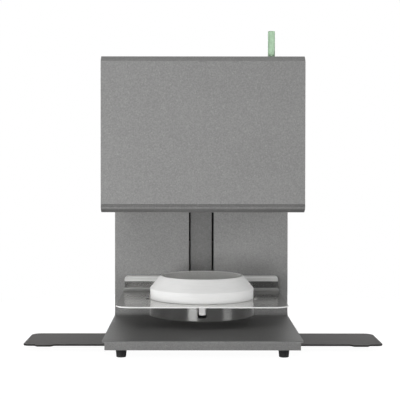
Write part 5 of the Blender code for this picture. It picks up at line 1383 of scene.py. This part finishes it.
@dataclass
class Lift:
    """What the lift carries: plate, drum, insulation ring, lug, clips and dish."""

    half: float = 0.1748
    plate_top: float = 0.091
    plate_sheet: float = 0.0025
    front: float = -0.144
    flange_front: float = 0.1125
    flange_top: float = 0.125
    roll: float = 0.012
    roll_end: float = 0.1265
    roll_start: float = 0.1135
    roll_crown: float = 0.1195
    bend: float = 0.008
    front_corner: float = 0.030
    drum_radius: float = 0.1135
    drum_sheet: float = 0.0015
    drum_bottom: float = 0.055
    drum_top: float = 0.0882
    ring_radius: float = 0.110
    ring_low: float = 0.0911
    shoulder: float = 0.1130
    ring_top: float = 0.1393
    rim_radius: float = 0.0880
    bore: float = 0.0838
    slot_half: float = 0.0086
    neck: float = 0.0603
    lug_half: float = 0.0066
    lug_low: float = 0.0695
    lug_depth: float = 0.008
    dish_radius: float = 0.0832
    dish_wall: float = 0.0028
    dish_low: float = 0.1136
    dish_floor: float = 0.1166
    dish_top: float = 0.1383
    clip_near: float = 0.1103
    clip_low: float = 0.0913

    def plate(self) -> None:
        """Stainless plate with round corners and a rolled rear flange, with painted highlights on
        its rim, roll and rear bend and a painted reflection on the roll.
        """
        corners = [
            (self.front, self.plate_top),
            (self.flange_front, self.plate_top),
            (self.flange_front, self.flange_top),
            (self.roll_end, self.flange_top),
        ]
        ends = (-self.half, self.half)
        plate = sheet_metal(
            "lift_plate_sheet", Axis.X, corners, [self.bend, self.roll], ends,
            self.plate_sheet, (0, 0, 1), 16,
        )
        corner = self.front_corner
        plan = panel_outline(
            (-self.half, self.front), (self.half, 0.130), (corner, corner, 0, 0), 24
        )
        side = self.half - 0.0025
        step = self.plate_top + 0.0025
        top = self.flange_top + GAP / 2
        crown = rounded(
            [
                (0, 0.080), (self.half + 0.004, 0.080), (self.half + 0.004, step),
                (side, step + 0.0025), (side, top), (-side, top), (-side, step + 0.0025),
                (-self.half - 0.004, step), (-self.half - 0.004, 0.080), (0, 0.080),
            ],
            [0, 0, 0, 0.008, 0.008, 0, 0, 0],
            8,
        )[:-1]
        carve(plate, [slab("plan", Axis.Z, plan, 0.080, 0.130)], "INTERSECT")
        carve(plate, [slab("crown", Axis.Y, crown, -0.150, 0.130)], "INTERSECT")
        carve(plate, [rod("neck", Axis.Z, (0, 0), self.neck, (0.080, 0.095), 64)])
        soften(plate, 0.0006, 3)
        deliver(plate, "lift", "stainless", ["lift_plate"])
        # Lighter non-metal colours on the stainless: painted highlights on the roll's crown, front
        # rim and rear bend, a painted reflection on the roll's lower half.
        rim_painted_highlight, roll_painted_reflection, bend_painted_highlight = (
            painted_light_zone("stainless", zone, colour=colour, metallic=metallic, roughness=0.42)
            for zone, colour, metallic in (
                ("rim_painted_highlight", (0.96, 0.96, 0.95), 0.0),
                ("roll_painted_reflection", (0.76, 0.76, 0.75), 0.0),
                ("bend_painted_highlight", (0.52, 0.52, 0.51), 0.45),
            )
        )

        def gets_rim_highlight(face: bmesh.types.BMFace) -> bool:
            """The roll's crown and the plate's front rim, which get a painted highlight.

            Args:
                face: the face.

            Returns:
                Whether it belongs to them.
            """
            place, way = face.calc_center_median(), face.normal
            if place.z > self.roll_crown:
                return True
            return place.z < self.plate_top + GAP and place.y < 0.1 and abs(way.z) < 0.97

        def gets_bend_highlight(face: bmesh.types.BMFace) -> bool:
            """The bend between the plate and its flange, which gets a painted highlight.

            Args:
                face: the face.

            Returns:
                Whether it belongs to the bend.
            """
            place, way = face.calc_center_median(), face.normal
            near = place.y > self.flange_front - self.bend - GAP
            return near and place.z < self.plate_top + self.bend and 0.05 < abs(way.z) < 0.97

        # Painted highlight on the roll's crown and the front rim.
        paint_faces(plate, rim_painted_highlight, gets_rim_highlight)
        # Painted reflection on the roll's lower half.
        paint_faces(
            plate,
            roll_painted_reflection,
            lambda face: self.roll_start < face.calc_center_median().z <= self.roll_crown,
        )
        # Painted highlight on the bend between plate and flange.
        paint_faces(plate, bend_painted_highlight, gets_bend_highlight)

    def drum(self) -> None:
        """Polished drum with its front slot."""
        outer, wall = self.drum_radius, self.drum_sheet
        low, top = self.drum_bottom, self.drum_top
        profile = rounded(
            [(0, low), (outer, low), (outer, top), (outer - wall, top),
             (outer - wall, low + wall), (0, low + wall)],
            [0.003, 0.0004, 0.0004, 0.0015],
            6,
        )
        drum = turned("drum_shell", profile, False, 192)
        slot = panel_outline(
            (-self.slot_half, low + self.slot_half),
            (self.slot_half, top + 0.003),
            (0.0015, 0.0015, 0, 0),
            6,
        )
        carve(drum, [slab("slot", Axis.Y, slot, -outer - 0.004, -outer + 0.004)])
        soften(drum, 0.0002)
        deliver(drum, "lift", "polished_steel", ["lift_drum"])
        half = self.lug_half
        lug = panel_outline((-half, self.lug_low), (half, top), (0.003, 0.003, 0, 0), 8)
        piece = slab("lug_block", Axis.Y, lug, -outer, -outer + self.lug_depth)
        soften(piece, 0.0005, 3)
        deliver(piece, "lift", "fibre_insulation", ["locating_lug"])

    def ring(self) -> None:
        """White insulation ring with its conical shoulder."""
        profile = rounded(
            [
                (self.bore, self.ring_low + 0.01),
                (self.bore, self.ring_low),
                (self.ring_radius, self.ring_low),
                (self.ring_radius, self.shoulder),
                (self.rim_radius, self.ring_top),
                (self.bore, self.ring_top),
                (self.bore, self.ring_low + 0.01),
            ],
            [0.0006, 0.0005, 0.0020, 0.0012, 0.0006],
            5,
        )[:-1]
        ring = turned("insulation_ring_dressed", profile, True, 160)
        deliver(ring, "lift", "fibre_insulation", ["insulation_ring"])

    def dish(self) -> None:
        """Grey ceramic dish with a rounded floor and rim."""
        outer, inner = self.dish_radius, self.dish_radius - self.dish_wall
        profile = rounded(
            [
                (0, self.dish_low),
                (outer, self.dish_low),
                (outer, self.dish_top),
                (inner, self.dish_top),
                (inner, self.dish_floor),
                (0, self.dish_floor),
            ],
            [0.002, 0.0012, 0.0012, 0.004],
            6,
        )
        dish = turned("dish_dressed", profile, False, 128)
        deliver(dish, "dish", "dish_ceramic", ["firing_dish"])

    def clips(self) -> None:
        """Two bent clips at the foot of the ring."""
        for node, angle in (("ring_clip_left", 188), ("ring_clip_right", -8)):
            near, low = self.clip_near, self.clip_low
            corners = [(near + 0.0097, low), (near, low), (near, low + 0.0095)]
            clip = sheet_metal(
                f"{node}_sheet", Axis.Y, corners, [0.0027], (-0.003, 0.003), 0.0012, (0, 0, -1), 6
            )
            soften(clip, 0.0003)
            stand_at(clip, (0, 0, 0), (0, 0, math.radians(angle)))
            deliver(clip, "lift", "stainless", [node])

    def build(self) -> None:
        """Makes all pieces on the lift."""
        self.plate()
        self.drum()
        self.ring()
        self.dish()
        self.clips()


@dataclass
class Fasteners:
    """Pan head screws that hold the panels, the fan and the feet."""

    head: float = 0.0036
    height: float = 0.0018
    socket: float = 0.0018
    rear: float = 0.2321
    cover_back: float = 0.2251
    cover_side: float = 0.1896
    head_side: float = 0.1951
    rear_half: float = 0.186
    rear_rows: Point = (0.305, 0.440, 0.572)
    cover_half: float = 0.182
    cover_rows: Point = (0.041, 0.160, 0.270)
    flank_y: float = 0.208
    flank_rows: Flat = (0.060, 0.250)
    side_rows: Flat = (0.567, 0.303)
    side_places: Point = (-0.195, 0.0, 0.195)
    foot_x: float = 0.159
    foot_ys: Flat = (-0.190, 0.192)
    foot_z: float = 0.0061
    fan: Point = (0.100, 0.493, 0.03575)

    def model(self) -> bpy.types.Object:
        """One screw head with its six-sided socket, at the origin, facing up.

        Returns:
            The screw.
        """
        profile = rounded(
            [(0, -0.0001), (self.head, -0.0001), (self.head, self.height), (0, self.height)],
            [0.0002, 0.0011], 4,
        )
        screw = turned("screw", profile, False, 32)
        six = [
            (self.socket * math.cos(turn), self.socket * math.sin(turn))
            for turn in (math.tau * step / 6 for step in range(6))
        ]
        carve(screw, [slab("socket", Axis.Z, six, self.height * 0.4, self.height * 2)])
        return screw

    def places(self) -> list[tuple[Point, Point]]:
        """Place and outward direction of every screw on the panels.

        Returns:
            A place and a direction for each screw.
        """
        centre_x, centre_z, half = self.fan
        found = []
        for way in (-1, 1):
            back, side = (0, 1, 0), (way, 0, 0)
            found += [((way * self.rear_half, self.rear, z), back) for z in self.rear_rows]
            found += [((way * self.cover_half, self.cover_back, z), back) for z in self.cover_rows]
            found += [((way * self.cover_side, self.flank_y, z), side) for z in self.flank_rows]
            high, low = self.side_rows
            found += [((way * self.head_side, y, high), side) for y in self.side_places]
            found += [((way * self.head_side, y, low), side) for y in self.side_places[:2]]
            for rise in (-half, half):
                found.append(((centre_x + way * half, self.rear, centre_z + rise), back))
        return found

    def build(self) -> None:
        """Places all screws."""
        moves = []
        for number, (place, way) in enumerate(self.places()):
            turn = Vector(way).to_track_quat("Z", "Y").to_matrix().to_4x4()
            twist = Matrix.Rotation(number * 0.7, 4, "Z")
            moves.append(Matrix.Translation(place) @ turn @ twist)
        screws = spread(self.model(), "panel_screws", moves)
        deliver(screws, "stand", "polished_steel", look=FINISHES["aluminium"].material())
        moves = [
            Matrix.Translation((x, y, self.foot_z)) @ Matrix.Rotation(math.pi, 4, "X")
            for x in (-self.foot_x, self.foot_x)
            for y in self.foot_ys
        ]
        feet = spread(self.model(), "foot_screws", moves)
        deliver(feet, "stand", "polished_steel", look=FINISHES["aluminium"].material())


@dataclass
class Inside:
    """Pieces behind the panels and under the base, with softened edges."""

    edges: tuple[tuple[str, float], ...] = (
        ("base_pan", 0.0004),
        ("tray_rail_front", 0.0004),
        ("tray_rail_rear", 0.0004),
        ("fan_frame", 0.0005),
        ("fan_rotor", 0.0),
        ("power_inlet", 0.0006),
        ("switch_frame", 0.0005),
        ("switch_rocker", 0.0006),
        ("fuse_holder", 0.0005),
        ("control_socket", 0.0005),
        ("head_floor", 0.0004),
        ("chamber_mouth", 0.0012),
        ("chamber_insulation", 0.0012),
        ("chamber_roof", 0.0),
        ("chamber_shell", 0.0004),
        ("insulation_core", 0.0012),
        ("insulation_base", 0.0010),
        ("heating_element_1", 0.0),
        ("heating_element_2", 0.0),
        ("heating_element_3", 0.0),
        ("heating_element_4", 0.0),
        ("thermocouple", 0.0),
        ("transformer_core", 0.0006),
        ("transformer_coil", 0.0015),
        ("lift_motor", 0.0006),
        ("lift_carriage", 0.0006),
        ("lift_yoke", 0.0006),
        ("drive_bracket", 0.0004),
        ("upper_bracket", 0.0004),
        ("lift_spindle", 0.0),
        ("spindle_nut", 0.0004),
    )

    def build(self) -> None:
        """Dresses each node with a softened copy of itself."""
        record = frame["record"]
        slots = {part["node"]: part["material_slot"] for part in record["subparts"]}
        bodies = {
            node: body for body, nodes in record["behaviour"]["bodies"].items() for node in nodes
        }
        for node, width in self.edges:
            copy = refined_copy(node, f"{node}_dressed", width)
            deliver(copy, bodies[node], slots[node], [node])


@dataclass
class Studio:
    """Floor, white surroundings, lamps and the photograph's camera."""

    lens: float = 92.95
    camera: Point = (-0.0196, -2.2028, 0.3796)
    tilt: float = math.radians(0.95)
    roll: float = 0.0008
    shift: Flat = (0.0183, -0.0508)
    table: float = 0.80
    ambient: float = 0.08
    room: float = 0.08
    sky_reach: Flat = (0.75, 0.99)
    floor_shade: float = 0.15
    floor_white: float = 0.97
    floor_gloss: Flat = (0.05, 0.9)
    floor_reach: Flat = (0.3, 0.8)
    lamps: tuple[tuple[str, float, float, float, Flat, float, bool], ...] = (
        ("key_low", -24.0, -0.05, 2.2, (0.70, 0.40), 19.5, False),
        ("fill_low", 50.0, -0.05, 2.2, (0.75, 0.40), 2.5, False),
        ("key_high", -15.0, 1.20, 2.2, (0.70, 0.50), 7.5, False),
        ("fill_high", 50.0, 1.20, 2.2, (0.75, 0.50), 6.0, False),
        ("side_left", -80.0, 0.12, 2.0, (0.6, 0.5), 17.0, False),
        ("side_right", 80.0, 0.12, 2.0, (0.6, 0.5), 12.0, False),
        ("top", 180.0, 2.8, 0.10, (0.5, 0.5), 15.0, False),
        ("rear_left", 195.0, 0.95, 2.2, (0.8, 0.6), 22.0, False),
        ("rear_right", 165.0, 0.95, 2.2, (0.8, 0.6), 14.0, False),
        ("panel_left", -19.0, 0.45, 3.0, (0.95, 1.0), 8.0, True),
        ("panel_right", 55.0, 0.45, 3.0, (1.0, 1.0), 3.5, True),
    )

    def set_camera(self) -> None:
        """Camera with a small drop of the view."""
        data = bpy.data.cameras.new("camera")
        data.lens = self.lens
        data.sensor_width = 36.0
        data.shift_x, data.shift_y = self.shift
        data.clip_end = 60.0
        camera = bpy.data.objects.new("camera", data)
        bpy.context.scene.collection.objects.link(camera)
        turn = Matrix.Rotation(math.pi / 2 - self.tilt, 4, "X")
        turn @= Matrix.Rotation(self.roll, 4, "Z")
        camera.matrix_world = Matrix.Translation(self.camera) @ turn
        bpy.context.scene.camera = camera

    def floor(self) -> None:
        """Pale floor that keeps the object's shadow and fades into the backdrop."""
        clear_selection()
        bpy.ops.mesh.primitive_circle_add(vertices=96, radius=self.table, fill_type="NGON")
        floor = bpy.context.object
        floor.name = floor.data.name = "floor"
        made = bpy.data.materials.new("floor_white")
        made.use_nodes = True
        tree = made.node_tree
        tree.nodes.clear()
        out = tree.nodes.new("ShaderNodeOutputMaterial")
        matt = tree.nodes.new("ShaderNodeBsdfDiffuse")
        matt.inputs["Color"].default_value = (*[self.floor_shade] * 3, 1)
        glow = tree.nodes.new("ShaderNodeEmission")
        place = tree.nodes.new("ShaderNodeTexCoord")
        strength = self.seen_strength(
            tree, place.outputs["Object"], self.floor_reach, self.floor_gloss, self.floor_white
        )
        tree.links.new(strength, glow.inputs["Strength"])
        both = tree.nodes.new("ShaderNodeAddShader")
        tree.links.new(matt.outputs[0], both.inputs[0])
        tree.links.new(glow.outputs[0], both.inputs[1])
        tree.links.new(both.outputs[0], out.inputs["Surface"])
        floor.data.materials.append(made)

    @staticmethod
    def seen_strength(
        tree: bpy.types.NodeTree,
        place: bpy.types.NodeSocket,
        reach: Flat,
        levels: Flat,
        camera_level: float,
        hidden_level: float = 0.0,
    ) -> bpy.types.NodeSocket:
        """Strength of a glow that only camera, glossy and transmission rays see.

        Args:
            tree: the node tree.
            place: point or direction whose Y runs from the room in front to the backdrop.
            reach: Y where the dim room ends and where the full backdrop starts.
            levels: glossy strength of the room and of the backdrop.
            camera_level: strength that the camera sees.
            hidden_level: strength for all other rays.

        Returns:
            The strength.
        """
        parts = tree.nodes.new("ShaderNodeSeparateXYZ")
        tree.links.new(place, parts.inputs[0])
        room = tree.nodes.new("ShaderNodeMapRange")
        tree.links.new(parts.outputs["Y"], room.inputs["Value"])
        for name, value in zip(("From Min", "From Max", "To Min", "To Max"), (*reach, *levels)):
            room.inputs[name].default_value = value
        path = tree.nodes.new("ShaderNodeLightPath")
        either = tree.nodes.new("ShaderNodeMath")
        either.operation = "MAXIMUM"
        tree.links.new(path.outputs["Is Glossy Ray"], either.inputs[0])
        tree.links.new(path.outputs["Is Transmission Ray"], either.inputs[1])
        gloss = tree.nodes.new("ShaderNodeMix")
        tree.links.new(either.outputs[0], gloss.inputs[0])
        gloss.inputs[2].default_value = hidden_level
        tree.links.new(room.outputs[0], gloss.inputs[3])
        seen = tree.nodes.new("ShaderNodeMix")
        tree.links.new(path.outputs["Is Camera Ray"], seen.inputs[0])
        tree.links.new(gloss.outputs[0], seen.inputs[2])
        seen.inputs[3].default_value = camera_level
        return seen.outputs[0]

    def world(self) -> None:
        """White background, a dim room in front of the furnace and a soft ambient light."""
        world = bpy.data.worlds.new("studio")
        bpy.context.scene.world = world
        world.use_nodes = True
        tree = world.node_tree
        tree.nodes.clear()
        out = tree.nodes.new("ShaderNodeOutputWorld")
        back = tree.nodes.new("ShaderNodeBackground")
        back.inputs["Color"].default_value = (1.0, 1.0, 1.0, 1.0)
        place = tree.nodes.new("ShaderNodeTexCoord")
        strength = self.seen_strength(
            tree,
            place.outputs["Generated"],
            self.sky_reach,
            (self.room, 1.0),
            1.0,
            self.ambient,
        )
        tree.links.new(strength, back.inputs["Strength"])
        tree.links.new(back.outputs[0], out.inputs["Surface"])

    def lamp(
        self,
        name: str,
        azimuth: float,
        height: float,
        distance: float,
        size: Flat,
        power: float,
        in_gloss: bool = False,
    ) -> None:
        """One soft area lamp that looks at the furnace.

        Args:
            name: name of the lamp.
            azimuth: degrees round the furnace, 0 at the camera, to the right as seen.
            height: its height above the table.
            distance: how far from the furnace's axis.
            size: width and height.
            power: watts.
            in_gloss: whether polished metal shows it.
        """
        data = bpy.data.lights.new(name, "AREA")
        data.shape = "RECTANGLE"
        data.size, data.size_y = size
        data.energy = power
        lamp = bpy.data.objects.new(name, data)
        bpy.context.scene.collection.objects.link(lamp)
        angle = math.radians(azimuth)
        place = Vector((math.sin(angle) * distance, -math.cos(angle) * distance, height))
        lamp.location = place
        lamp.rotation_euler = (Vector((0, 0, 0.25)) - place).to_track_quat("-Z", "Y").to_euler()
        lamp.visible_glossy = in_gloss

    def build(self) -> None:
        """Sets up the whole studio."""
        self.set_camera()
        self.floor()
        self.world()
        for row in self.lamps:
            self.lamp(*row)
        view = bpy.context.scene.view_settings
        view.view_transform = "Standard"


def dress_nodes() -> None:
    """Gives every CAD node that still shows its procedural finish."""
    slots = {part["node"]: part["material_slot"] for part in frame["record"]["subparts"]}
    for name, node in frame["nodes"].items():
        look = FINISHES[slots[name]].material()
        if not node.material_slots:
            node.data.materials.append(look)
        for slot in node.material_slots:
            slot.material = look


def main() -> None:
    """Builds every sub-assembly in order."""
    dress_nodes()
    Stand().build()
    Head().build()
    Lift().build()
    Tray("tray_sheet_left", "left_tray", "tray_left", -1, 0.0023, (0.2943, 0.3335)).build()
    Tray("tray_sheet_right", "right_tray", "tray_right", 1, 0.0052, (0.2913, 0.3310)).build()
    Inside().build()
    Fasteners().build()
    Studio().build()


if __name__ == "__main__":
    main()
